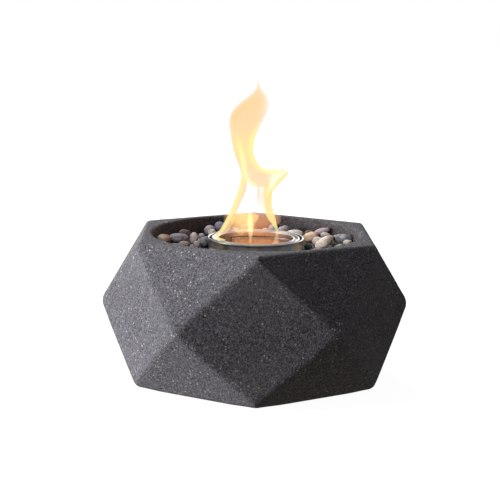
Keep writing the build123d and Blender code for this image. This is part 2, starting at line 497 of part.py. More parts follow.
        ((60.7, 68.38, 119.57), (4.83, 4.01, 2.87), (17.9, -23.5, 6.7)),
        ((35.49, 67.9, 120.62), (5.8, 5.4, 4.05), (-7.7, -24.0, -77.8)),
        ((-38.21, 36.84, 119.69), (5.39, 4.38, 3.45), (1.9, -6.4, 30.2)),
        ((-80.27, -1.28, 119.14), (4.65, 3.82, 2.84), (1.1, 11.1, 74.0)),
    ],
}


def pebble(place, halves, turns):
    """A smooth river pebble: an ellipsoid with three different half axes."""
    body = scale(Sphere(1.0), by=halves)
    return Pos(*place) * Rot(0, 0, turns[2]) * Rot(0, turns[1], 0) * Rot(turns[0], 0, 0) * body


def save(name, solids):
    solids = solids if isinstance(solids, list) else [solids]
    plain = [s for part in solids for s in part.solids()]
    whole = plain[0] if len(plain) == 1 else Compound(children=plain)
    whole.label = name
    export_step(whole, f"parts/{name}.step")
    print(name, len(plain), round(sum(s.volume for s in plain)))


save("bowl_shell", bowl_shell())
save("foot_pads", foot_pads())
save("burner_cup", burner_cup())
save("can_body", can_body())
save("can_base", can_base())
save("can_top_ring", can_top_ring())
save("gel_fuel", gel_fuel())
for name, group in PEBBLES.items():
    save(name, [pebble(*each) for each in group])
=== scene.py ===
import json
import math
import random

import bmesh
import bpy
import numpy as np
from mathutils import Matrix, Vector, noise


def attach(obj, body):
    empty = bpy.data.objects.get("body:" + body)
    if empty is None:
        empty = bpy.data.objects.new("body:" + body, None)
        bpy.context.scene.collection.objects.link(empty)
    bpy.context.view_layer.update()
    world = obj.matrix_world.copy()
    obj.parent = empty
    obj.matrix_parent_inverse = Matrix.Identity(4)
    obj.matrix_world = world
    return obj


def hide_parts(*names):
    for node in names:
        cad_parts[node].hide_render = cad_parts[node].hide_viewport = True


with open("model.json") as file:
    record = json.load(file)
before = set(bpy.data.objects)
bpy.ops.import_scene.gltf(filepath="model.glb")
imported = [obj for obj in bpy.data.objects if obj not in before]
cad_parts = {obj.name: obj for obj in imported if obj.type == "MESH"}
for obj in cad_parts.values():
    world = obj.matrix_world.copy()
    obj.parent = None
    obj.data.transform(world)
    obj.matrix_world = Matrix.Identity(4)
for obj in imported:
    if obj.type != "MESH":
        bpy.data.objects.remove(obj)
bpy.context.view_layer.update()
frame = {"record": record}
MM = 0.001
scene = bpy.context.scene


# ---------------------------------------------------------------- helpers
def link(obj):
    scene.collection.objects.link(obj)
    return obj


def mesh_object(name, verts_mm, faces, smooth=True):
    """A mesh object from points in millimetres, in the part's frame."""
    me = bpy.data.meshes.new(name)
    me.from_pydata([tuple(v) for v in np.asarray(verts_mm, float) * MM], [], [tuple(f) for f in faces])
    me.update()
    if smooth:
        me.polygons.foreach_set("use_smooth", [True] * len(me.polygons))
    return link(bpy.data.objects.new(name, me))


def outward(obj):
    """Faces turned to point outwards."""
    bm = bmesh.new()
    bm.from_mesh(obj.data)
    bmesh.ops.recalc_face_normals(bm, faces=bm.faces)
    bm.to_mesh(obj.data)
    bm.free()
    obj.data.update()
    return obj


def float_attribute(obj, name, values):
    a = obj.data.attributes.new(name, "FLOAT", "POINT")
    a.data.foreach_set("value", np.asarray(values, np.float32))


def stands_for(obj, body, slot, *nodes):
    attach(obj, body)
    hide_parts(*nodes)
    return obj


def lathe(name, profile, segments=256, wobble=None):
    """A closed body of revolution. profile: (r, z) points in millimetres from axis to axis, or a closed loop that stays off the axis."""
    closed = profile[0][0] > 1e-6
    verts, rows = [], []
    for r, z in profile:
        if r < 1e-6:
            rows.append([len(verts)])
            verts.append((0.0, 0.0, z))
            continue
        rows.append(list(range(len(verts), len(verts) + segments)))
        for i in range(segments):
            a = 2 * math.pi * i / segments
            rr, zz = (r, z) if wobble is None else wobble(r, z, a)
            verts.append((rr * math.sin(a), -rr * math.cos(a), zz))
    faces = []
    pairs = list(zip(rows, rows[1:])) + ([(rows[-1], rows[0])] if closed else [])
    for a, b in pairs:
        for i in range(segments):
            j = (i + 1) % segments
            if len(a) == 1 and len(b) == 1:
                continue
            if len(a) == 1:
                faces.append((a[0], b[i], b[j]))
            elif len(b) == 1:
                faces.append((a[i], b[0], a[j]))
            else:
                faces.append((a[i], b[i], b[j], a[j]))
    return outward(mesh_object(name, verts, faces))


def arc(cr, cz, rad, a0, a1, n):
    """Points on an arc in the (r, z) plane, angles in degrees."""
    return [
        (
            cr + rad * math.cos(math.radians(a0 + (a1 - a0) * i / n)),
            cz + rad * math.sin(math.radians(a0 + (a1 - a0) * i / n)),
        )
        for i in range(n + 1)
    ]


def between(p, q, n):
    """n points from p towards q, without q."""
    return [(p[0] + (q[0] - p[0]) * i / n, p[1] + (q[1] - p[1]) * i / n) for i in range(n)]


def smooth(x, lo=0.0, hi=1.0):
    t = np.clip((np.asarray(x, float) - lo) / (hi - lo), 0, 1)
    return t * t * (3 - 2 * t)


class Graph:
    """Short calls for building a node material."""

    def __init__(self, name):
        self.mat = bpy.data.materials.new(name)
        self.mat.use_nodes = True
        self.tree = self.mat.node_tree
        self.tree.nodes.clear()
        self.out = self.tree.nodes.new("ShaderNodeOutputMaterial")
        self._mm = None

    def node(self, kind, inputs=None, **props):
        n = self.tree.nodes.new(kind)
        for k, v in props.items():
            setattr(n, k, v)
        for k, v in (inputs or {}).items():
            sock = n.inputs[k]
            if isinstance(v, bpy.types.NodeSocket):
                self.tree.links.new(v, sock)
            else:
                sock.default_value = v
        return n

    def mm(self):
        """Object coordinates in millimetres."""
        if self._mm is None:
            tc = self.node("ShaderNodeTexCoord")
            self._mm = self.node(
                "ShaderNodeVectorMath", {0: tc.outputs["Object"], 1: (1000, 1000, 1000)}, operation="MULTIPLY"
            ).outputs[0]
        return self._mm

    def noise(self, size, detail=2.0, rough=0.5, distort=0.0, vector=None, out="Fac"):
        """Noise with features of about that many millimetres."""
        return self.node(
            "ShaderNodeTexNoise",
            {
                "Vector": vector or self.mm(),
                "Scale": 1.0 / size,
                "Detail": detail,
                "Roughness": rough,
                "Distortion": distort,
            },
        ).outputs[out]

    def cells(self, size, vector=None, feature="F1", randomness=1.0):
        return self.node(
            "ShaderNodeTexVoronoi",
            {"Vector": vector or self.mm(), "Scale": 1.0 / size, "Randomness": randomness},
            feature=feature,
        )

    def math(self, op, a, b=0.0, clamp=False):
        return self.node("ShaderNodeMath", {0: a, 1: b}, operation=op, use_clamp=clamp).outputs[0]

    def ramp(self, fac, lo, hi, to0=0.0, to1=1.0, soft=True):
        return self.node(
            "ShaderNodeMapRange",
            {"Value": fac, "From Min": lo, "From Max": hi, "To Min": to0, "To Max": to1},
            interpolation_type="SMOOTHSTEP" if soft else "LINEAR",
            clamp=True,
        ).outputs["Result"]

    def mix(self, fac, a, b, blend="MIX"):
        n = self.tree.nodes.new("ShaderNodeMix")
        n.data_type, n.blend_type = "RGBA", blend
        for sock, v in ((n.inputs[0], fac), (n.inputs[6], a), (n.inputs[7], b)):
            if isinstance(v, bpy.types.NodeSocket):
                self.tree.links.new(v, sock)
            else:
                sock.default_value = (*v, 1.0) if isinstance(v, tuple) and len(v) == 3 else v
        return n.outputs[2]

    def attribute(self, name, out="Fac"):
        return self.node("ShaderNodeAttribute", attribute_name=name).outputs[out]

    def separate(self, vector):
        return self.node("ShaderNodeSeparateXYZ", {0: vector}).outputs

    def bump(self, height, strength, distance_mm, normal=None):
        ins = {"Height": height, "Strength": strength, "Distance": distance_mm * MM}
        if normal is not None:
            ins["Normal"] = normal
        return self.node("ShaderNodeBump", ins).outputs[0]

    def surface(self, **inputs):
        ins = {k.replace("_", " "): (*v, 1.0) if isinstance(v, tuple) and len(v) == 3 and "Color" in k or isinstance(v, tuple) and len(v) == 3 and "Tint" in k else v for k, v in inputs.items()}
        n = self.node("ShaderNodeBsdfPrincipled", ins)
        self.tree.links.new(n.outputs[0], self.out.inputs["Surface"])
        return self.mat


def finish_with(obj, material):
    obj.data.materials.clear()
    obj.data.materials.append(material)
    return obj


# ---------------------------------------------------------------- camera: the photograph's viewing angle, for a square frame
CAM_AT = Vector((-0.02495, -1.22846, 0.35340))
LOOK_AT = Vector((-0.00539, 0.00009, 0.12364))
FOCAL_PX, ROLL = 1272.9, math.radians(0.82)
forward = (LOOK_AT - CAM_AT).normalized()
right0 = forward.cross(Vector((0, 0, 1))).normalized()
up0 = right0.cross(forward)
right = math.cos(ROLL) * right0 + math.sin(ROLL) * up0
up = -math.sin(ROLL) * right0 + math.cos(ROLL) * up0
cam_data = bpy.data.cameras.new("camera")
cam_data.sensor_width = 36.0
cam_data.lens = FOCAL_PX / 500.0 * 36.0
cam_data.clip_start, cam_data.clip_end = 0.05, 100.0
camera = link(bpy.data.objects.new("camera", cam_data))
camera.matrix_world = Matrix(
    (
        (right.x, up.x, -forward.x, CAM_AT.x),
        (right.y, up.y, -forward.y, CAM_AT.y),
        (right.z, up.z, -forward.z, CAM_AT.z),
        (0, 0, 0, 1),
    )
)
scene.camera = camera
scene.view_settings.view_transform = "Standard"
scene.view_settings.look = "None"


# ---------------------------------------------------------------- cast stone bowl
HEIGHT, WAIST_R, TOP_R, BASE_R = 142.0, 152.5, 127.8, 130.7
WAIST_SHARE, PAD_T = 0.504, 1.2
WAIST_Z = PAD_T + (HEIGHT - PAD_T) * WAIST_SHARE
MIDDLE = np.array([0.0, 0.0, WAIST_Z])


def at(radius, azimuth, z):
    a = math.radians(azimuth)
    return np.array([radius * math.sin(a), -radius * math.cos(a), z])


def plane(a, b, c):
    n = np.cross(b - a, c - a)
    n /= np.linalg.norm(n)
    if n @ (a - MIDDLE) < 0:
        n = -n
    return n, float(n @ a)


SHARP_T = [at(TOP_R, 60 * k, HEIGHT) for k in range(6)]
SHARP_W = [at(WAIST_R, 30 + 60 * k, WAIST_Z) for k in range(6)]
SHARP_B = [at(BASE_R, 60 * k, PAD_T) for k in range(6)]


def drawn_in(rounding):
    """Triangles of the body that lies `rounding` inside every outer plane. Grown by `rounding` it gives the cast body with rounded edges."""
    up_n, up_d = plane(SHARP_T[0], SHARP_W[0], SHARP_W[5])
    lo_n, lo_d = plane(SHARP_B[0], SHARP_W[0], SHARP_W[5])
    ut_n, ut_d = plane(SHARP_T[0], SHARP_T[1], SHARP_W[0])
    lt_n, lt_d = plane(SHARP_B[0], SHARP_B[1], SHARP_W[0])
    r = np.linspace(90, 153, 1261)

    def best(points, tests):
        miss = sum(w * (d - points @ n - rounding) ** 2 for n, d, w in tests)
        return points[int(np.argmin(miss))]

    line = lambda z: np.stack([0 * r, -r, 0 * r + z], 1)
    top = best(line(HEIGHT - rounding), [(up_n, up_d, 1), (ut_n, ut_d, 2)])
    base = best(line(PAD_T + rounding), [(lo_n, lo_d, 1), (lt_n, lt_d, 2)])
    s, c = math.sin(math.radians(30)), math.cos(math.radians(30))
    rr, zz = np.meshgrid(np.linspace(110, 153, 431), WAIST_Z + np.linspace(-4, 4, 81))
    grid = np.stack([rr.ravel() * s, -rr.ravel() * c, zz.ravel()], 1)
    waist = best(grid, [(up_n, up_d, 2), (lo_n, lo_d, 2), (ut_n, ut_d, 1), (lt_n, lt_d, 1)])
    t_r, b_r, w_r = -top[1], -base[1], math.hypot(waist[0], waist[1])
    T = [at(t_r, 60 * k, HEIGHT - rounding) for k in range(6)]
    B = [at(b_r, 60 * k, PAD_T + rounding) for k in range(6)]
    W = [at(w_r, 30 + 60 * k, waist[2]) for k in range(6)]
    tris = []
    for k in range(6):
        n = (k + 1) % 6
        tris += [(T[k], W[k], W[k - 1]), (B[k], W[k], W[k - 1]), (T[k], T[n], W[k]), (B[k], B[n], W[k])]
        tris += [(T[k], T[n], np.array([0, 0, HEIGHT - rounding])), (B[k], B[n], np.array([0, 0, PAD_T + rounding]))]
    return np.array(tris)


def nearest(points, tris):
    """For each point, the nearest point on the triangles."""
    a, b, c = tris[:, 0], tris[:, 1], tris[:, 2]
    P = points[:, None, :]
    n = np.cross(b - a, c - a)
    n /= np.linalg.norm(n, axis=1)[:, None]
    h = ((P - a) * n).sum(-1)
    foot = P - h[..., None] * n
    inside = np.ones(h.shape, bool)
    best, best_d = None, None
    for p, q in ((a, b), (b, c), (c, a)):
        e = q - p
        inside &= (np.cross(e, foot - p) * n).sum(-1) >= -1e-9
        t = np.clip(((P - p) * e).sum(-1) / (e * e).sum(-1), 0, 1)
        cand = p + t[..., None] * e
        d = ((P - cand) ** 2).sum(-1)
        if best is None:
            best, best_d = cand, d
        else:
            closer = d < best_d
            best = np.where(closer[..., None], cand, best)
            best_d = np.where(closer, d, best_d)
    flat_d = h * h
    use = inside & (flat_d <= best_d)
    best = np.where(use[..., None], foot, best)
    best_d = np.where(use, flat_d, best_d)
    i = np.argmin(best_d, 1)
    return best[np.arange(len(points)), i]


def rounded(points):
    """Points of the sharp body moved onto the rounded one: 7 mm edges, tighter at the rim, softer at the waist's and base's corners."""
    out = {}
    for r in (5.5, 7.0, 15.0):
        q = nearest(points, drawn_in(r))
        d = points - q
        out[r] = q + r * d / np.maximum(np.linalg.norm(d, axis=1), 1e-9)[:, None]
    near = lambda targets: np.min([np.linalg.norm(points - t, axis=1) for t in targets], axis=0)
    w = np.maximum(1 - smooth(near(SHARP_W), 6, 34), 0.4 * (1 - smooth(near(SHARP_B), 6, 30)))[:, None]
    t = smooth(points[:, 2], HEIGHT - 12, HEIGHT - 3)[:, None]
    p = out[7.0] * (1 - t) + out[5.5] * t
    return p * (1 - w) + out[15.0] * w


CELLS = 40  # grid cells along each side of a facet's half
TRAY_LIP = arc(104.643, 138.5, 3.5, 90, 180 - 15.888, 7)  # rim rounding, from the rim to the tray's leaning wall


def spread(n):
    """0 to 1, closer together at both ends."""
    s = np.linspace(0, 1, n + 1)
    return s - 0.42 * np.sin(2 * np.pi * s) / (2 * np.pi)


def bowl_grid():
    """Rows from the centre of the well over the rim and down to the centre of the underside, for azimuths 0 to 30 degrees."""
    t = spread(CELLS)
    T0, W30, M0 = SHARP_T[0], SHARP_W[0], (SHARP_W[0] + SHARP_W[5]) / 2
    M30 = (SHARP_T[0] + SHARP_T[1]) / 2
    B0, N30 = SHARP_B[0], (SHARP_B[0] + SHARP_B[1]) / 2
    rim = T0 + t[:, None] * (M30 - T0)
    az = np.arctan2(rim[:, 0], -rim[:, 1])
    ring_of = lambda r, z: np.stack([r * np.sin(az), -r * np.cos(az), np.full(len(az), float(z))], 1)
    inner = []  # (r, z) from the well's floor to the rim
    inner += between((6.0, 39.1), (44.5, 39.1), 5) + arc(44.5, 41.6, 2.5, -90, 0, 4)[:-1]
    inner += between((47.0, 41.6), (47.0, 114.5), 9) + [(47.0, 114.8), (47.25, 115.5), (47.7, 115.9)]
    inner += between((48.8, 116.0), (91.1, 116.0), 9)
    inner += arc(91.0, 120.0, 4.0, -90, -15.888, 5)
    foot, crown = inner[-1], TRAY_LIP[-1]
    inner += between(foot, crown, 9)[1:]
    inner += TRAY_LIP[::-1]
    rows = [ring_of(r, z) for r, z in inner]
    lip_row = len(rows) - 1
    for f in (0.16, 0.34, 0.52, 0.68, 0.81, 0.91, 0.965):
        rows.append(rows[lip_row] * (1 - f) + rim * f)
    first_outer = lip_row + 1
    top_row = len(rows)
    rows.append(rim)
    u = t[:, None]
    for v in t[1:]:
        left = T0 + (v - u) * (M0 - T0) + u * (W30 - T0)
        rght = T0 + (u - v) * (M30 - T0) + v * (W30 - T0)
        rows.append(np.where(u <= v, left, rght))
    waist_row = len(rows) - 1
    for v in t[1:]:
        s = 1 - v
        left = B0 + (s - u) * (M0 - B0) + u * (W30 - B0)
        rght = B0 + (u - s) * (N30 - B0) + s * (W30 - B0)
        rows.append(np.where(u <= s, left, rght))
    base_row = len(rows) - 1
    for f in (0.985, 0.965, 0.94, 0.9, 0.84, 0.72, 0.56, 0.4, 0.25, 0.12):
        rows.append(rows[base_row] * np.array([f, f, 1.0]))
    rows = np.array(rows)
    flat = rows[first_outer:].reshape(-1, 3)
    moved = rounded(flat)
    worn = np.zeros(rows.shape[:2])
    worn[first_outer:] = np.linalg.norm(moved - flat, axis=1).reshape(worn[first_outer:].shape)
    rows[first_outer:] = moved.reshape(rows[first_outer:].shape)
    return rows, worn, top_row, waist_row, base_row


def build_bowl():
    rows, worn, top_row, waist_row, base_row = bowl_grid()
    n_rows, m = rows.shape[0], rows.shape[1] - 1
    columns = 12 * m
    full = np.zeros((n_rows, columns, 3))
    wear = np.zeros((n_rows, columns))
    for sector in range(6):
        a = math.radians(60 * sector)
        turn = np.array([[math.cos(a), -math.sin(a), 0], [math.sin(a), math.cos(a), 0], [0, 0, 1]])
        half = rows @ turn.T
        mirror = rows * np.array([-1, 1, 1])
        a2 = math.radians(60 * (sector + 1))
        turn2 = np.array([[math.cos(a2), -math.sin(a2), 0], [math.sin(a2), math.cos(a2), 0], [0, 0, 1]])
        back = mirror @ turn2.T
        c0 = sector * 2 * m
        full[:, c0 : c0 + m] = half[:, :m]
        wear[:, c0 : c0 + m] = worn[:, :m]
        full[:, c0 + m : c0 + 2 * m] = back[:, m:0:-1]
        wear[:, c0 + m : c0 + 2 * m] = worn[:, m:0:-1]
    verts = list(full.reshape(-1, 3))
    wears = list(wear.reshape(-1))
    faces = []
    idx = lambda i, j: i * columns + j % columns
    for i in range(n_rows - 1):
        for j in range(columns):
            k, col = divmod(j, m)
            col = col if k % 2 == 0 else m - 1 - col  # cell's place counted from the upright diamond's middle
            a, b, c, d = idx(i, j), idx(i + 1, j), idx(i + 1, j + 1), idx(i, j + 1)
            crease = None
            if top_row <= i < waist_row and i - top_row == col:
                crease = "down"
            if waist_row <= i < base_row and col == m - 1 - (i - waist_row):
                crease = "up"
            if crease is None:
                faces.append((a, b, c, d))
            else:
                from_a = (crease == "down") == (k % 2 == 0)
                faces += [(a, b, c), (a, c, d)] if from_a else [(a, b, d), (b, c, d)]
    for row, z in ((0, 39.1), (n_rows - 1, PAD_T)):
        centre = len(verts)
        verts.append(np.array([0.0, 0.0, z]))
        wears.append(0.0)
        for j in range(columns):
            faces.append((centre, idx(row, j), idx(row, j + 1)))
    obj = mesh_object("bowl_casting", verts, faces)
    float_attribute(obj, "worn", wears)
    outward(obj)
    return obj


PITS = [  # x, y, z, radius: bug holes left by air in the mix, those the photograph shows first
    (-47.6, -131.1, 87.0, 1.25), (-75.3, -122.1, 54.9, 1.15), (10.2, -131.5, 42.5, 0.95), (-90.4, -107.5, 68.7, 0.9),
    (-87.7, -82.9, 5.5, 1.1),
]


def scatter_pits(obj, count, seed):
    """More bug holes, on the outer faces all round and a few in the tray's wall."""
    rng = random.Random(seed)
    me = obj.data
    picks = [p for p in me.polygons if 8 < p.center.z * 1000 < 128 and math.hypot(p.center.x, p.center.y) > 0.1]
    pits = []
    while len(pits) < count:
        p = rng.choice(picks)
        c = np.array(p.center) * 1000
        if c[1] < -70 and abs(c[0]) < 100:  # the photographed side has its own
            continue
        if all(np.linalg.norm(c - q[:3]) > 14 for q in pits):
            pits.append((*c, rng.choice((0.6, 0.7, 0.8, 0.95, 1.2))))
    return pits


def carve_pits(obj, pits):
    """Finer cells round each pit, pushed inwards to an uneven little bowl."""
    bm = bmesh.new()
    bm.from_mesh(obj.data)
    for x, y, z, r in pits:
        for reach in (3.2, 2.2):
            bm.faces.ensure_lookup_table()
            c = Vector((x, y, z)) * MM
            near = [f for f in bm.faces if (f.calc_center_median() - c).length < (reach * r + 0.7) * MM]
            edges = list({e for f in near for e in f.edges})
            if edges:
                bmesh.ops.subdivide_edges(bm, edges=edges, cuts=1, use_grid_fill=True)
    bm.normal_update()
    moves = []
    for x, y, z, r in pits:
        c = Vector((x, y, z)) * MM
        close = [v for v in bm.verts if (v.co - c).length < 2.0 * r * MM]
        if not close:
            continue
        centre = min(close, key=lambda v: (v.co - c).length)
        n = centre.normal.copy()
        for v in close:
            d = (v.co - centre.co).length / (r * MM)
            d *= 1 + 0.35 * noise.noise(v.co * 1400)
            depth = 0.9 * r * MM * float(1 - smooth(d, 0.35, 1.15))
            if depth > 0:
                moves.append((v, n * -depth))
    for v, m in moves:
        v.co += m
    bm.to_mesh(obj.data)
    bm.free()
    obj.data.polygons.foreach_set("use_smooth", [True] * len(obj.data.polygons))
    obj.data.update()


def roughen(obj):
    """The slight unevenness of a cast face: long swells, and a short one where the mould was less smooth."""
    me = obj.data
    n = len(me.vertices)
    co, no = np.zeros(n * 3), np.zeros(n * 3)
    me.vertices.foreach_get("co", co)
    me.vertex_normals.foreach_get("vector", no)
    co, no = co.reshape(-1, 3), no.reshape(-1, 3)
    for i in range(n):
        p = Vector(co[i])
        if p.z < 0.0025 or (math.hypot(p.x, p.y) < 0.0480):
            continue
        swell = 0.16 * noise.noise(p * 28) + 0.05 * noise.noise(p * 130 + Vector((7, 3, 1)))
        co[i] += no[i] * (swell - 0.12) * MM
    me.vertices.foreach_set("co", co.reshape(-1))
    me.update()


def cast_stone():
    """Dark cement with a fine grain, pale and dark aggregate down to a millimetre, and small air holes; inside the tray
    the colour is darkened towards brown-black as painted shade.
    """
    g = Graph("cast_stone")
    x, y, z = g.separate(g.mm())
    grain = g.noise(2.3, 2, 0.6)
    fine = g.noise(1.15, 2, 0.6)
    cloud = g.noise(17, 3, 0.55)
    wide = g.noise(75, 2, 0.5)
    both = g.math("ADD", g.math("MULTIPLY", grain, 0.42), g.math("MULTIPLY", fine, 0.58))
    tone = g.ramp(both, 0.38, 0.62)
    colour = g.mix(tone, (0.037, 0.035, 0.040), (0.196, 0.190, 0.213))
    colour = g.mix(g.ramp(cloud, 0.3, 0.72, 0.0, 0.30), colour, (0.082, 0.078, 0.078))
    colour = g.mix(g.ramp(wide, 0.35, 0.7, 0.0, 0.20), colour, (0.140, 0.136, 0.156))
    worn = g.ramp(g.attribute("worn"), 0.05, 1.0)
    colour = g.mix(g.math("MULTIPLY", worn, 0.22), colour, (0.205, 0.200, 0.212))

    def grains(size, share, lo, hi):
        """Spots of about that size: how strong, and three random numbers for each."""
        v = g.cells(size)
        pick = g.separate(v.outputs["Color"])
        dot = g.ramp(v.outputs["Distance"], lo, hi, 1.0, 0.0)
        return g.math("MULTIPLY", dot, g.math("GREATER_THAN", pick[0], share)), pick

    patch = g.ramp(g.noise(26, 2, 0.5), 0.38, 0.60, 0.25, 1.0)
    small, pick_s = grains(1.45, 0.62, 0.26, 0.40)
    colour = g.mix(g.math("MULTIPLY", small, 0.62), colour, g.mix(pick_s[1], (0.235, 0.228, 0.245), (0.46, 0.45, 0.47)))
    dark, _ = grains(1.9, 0.74, 0.24, 0.38)
    colour = g.mix(g.math("MULTIPLY", dark, 0.80), colour, (0.020, 0.019, 0.020))
    large, pick_l = grains(2.3, 0.87, 0.28, 0.40)
    pale = g.mix(pick_l[1], (0.32, 0.31, 0.33), (0.58, 0.57, 0.57))
    pale = g.mix(g.math("GREATER_THAN", pick_l[2], 0.9), pale, (0.56, 0.42, 0.30))
    colour = g.mix(g.math("MULTIPLY", large, patch), colour, pale)
    radius = g.math("SQRT", g.math("ADD", g.math("MULTIPLY", x, x), g.math("MULTIPLY", y, y)))
    # painted shade: within about 100 mm of the axis, inside the tray, the stone is darkened towards brown-black to
    # stand in for the shade in the well
    inside = g.ramp(g.math("ADD", radius, g.math("MULTIPLY", g.math("SUBTRACT", cloud, 0.5), 5.0)), 99.5, 105.0, 1.0, 0.0)
    colour = g.mix(g.math("MULTIPLY", inside, 0.62), colour, (0.037, 0.026, 0.023))
    pores = g.math("SUBTRACT", both, g.math("MULTIPLY", dark, 0.9))
    normal = g.bump(pores, 0.75, 0.45)
    normal = g.bump(cloud, 0.25, 0.8, normal)
    rough = g.ramp(fine, 0.3, 0.7, 0.82, 0.95)
    return g.surface(Base_Color=colour, Roughness=rough, Normal=normal, Specular_IOR_Level=0.28)


bowl = build_bowl()
roughen(bowl)
carve_pits(bowl, PITS + scatter_pits(bowl, 22, 5))
outward(bowl)
finish_with(bowl, cast_stone())
stands_for(bowl, "bowl", "cast_stone", "bowl_shell")


# ---------------------------------------------------------------- foot pads
def build_pads():
    profile = [(0, 0.0), (4.0, 0.0), (8.0, 0.0)] + arc(8.55, 0.4, 0.4, -90, 0, 4) + arc(8.7, 0.95, 0.25, 0, 90, 3) + [(4.0, 1.2), (0, 1.2)]
    one = lathe("pad_part", profile, 72)
    base = np.array([v.co for v in one.data.vertices]) / MM
    polys = [tuple(p.vertices) for p in one.data.polygons]
    bpy.data.objects.remove(one)
    verts, faces = [], []
    for k in range(6):
        a = math.radians(60 * k)
        off = len(verts)
        verts += list(base + np.array([92 * math.sin(a), -92 * math.cos(a), 0]))
        faces += [tuple(i + off for i in f) for f in polys]
    return mesh_object("foot_pad_set", verts, faces)


def pad_rubber():
    g = Graph("pad_rubber")
    n = g.noise(0.5, 3, 0.6)
    colour = g.mix(n, (0.012, 0.012, 0.013), (0.045, 0.044, 0.043))
    dust = g.ramp(g.noise(5, 2), 0.5, 0.75, 0.0, 0.4)
    colour = g.mix(dust, colour, (0.09, 0.085, 0.08))
    return g.surface(Base_Color=colour, Roughness=g.ramp(n, 0.3, 0.7, 0.65, 0.85), Normal=g.bump(n, 0.3, 0.1))


stands_for(finish_with(build_pads(), pad_rubber()), "bowl", "pad_rubber", "foot_pads")


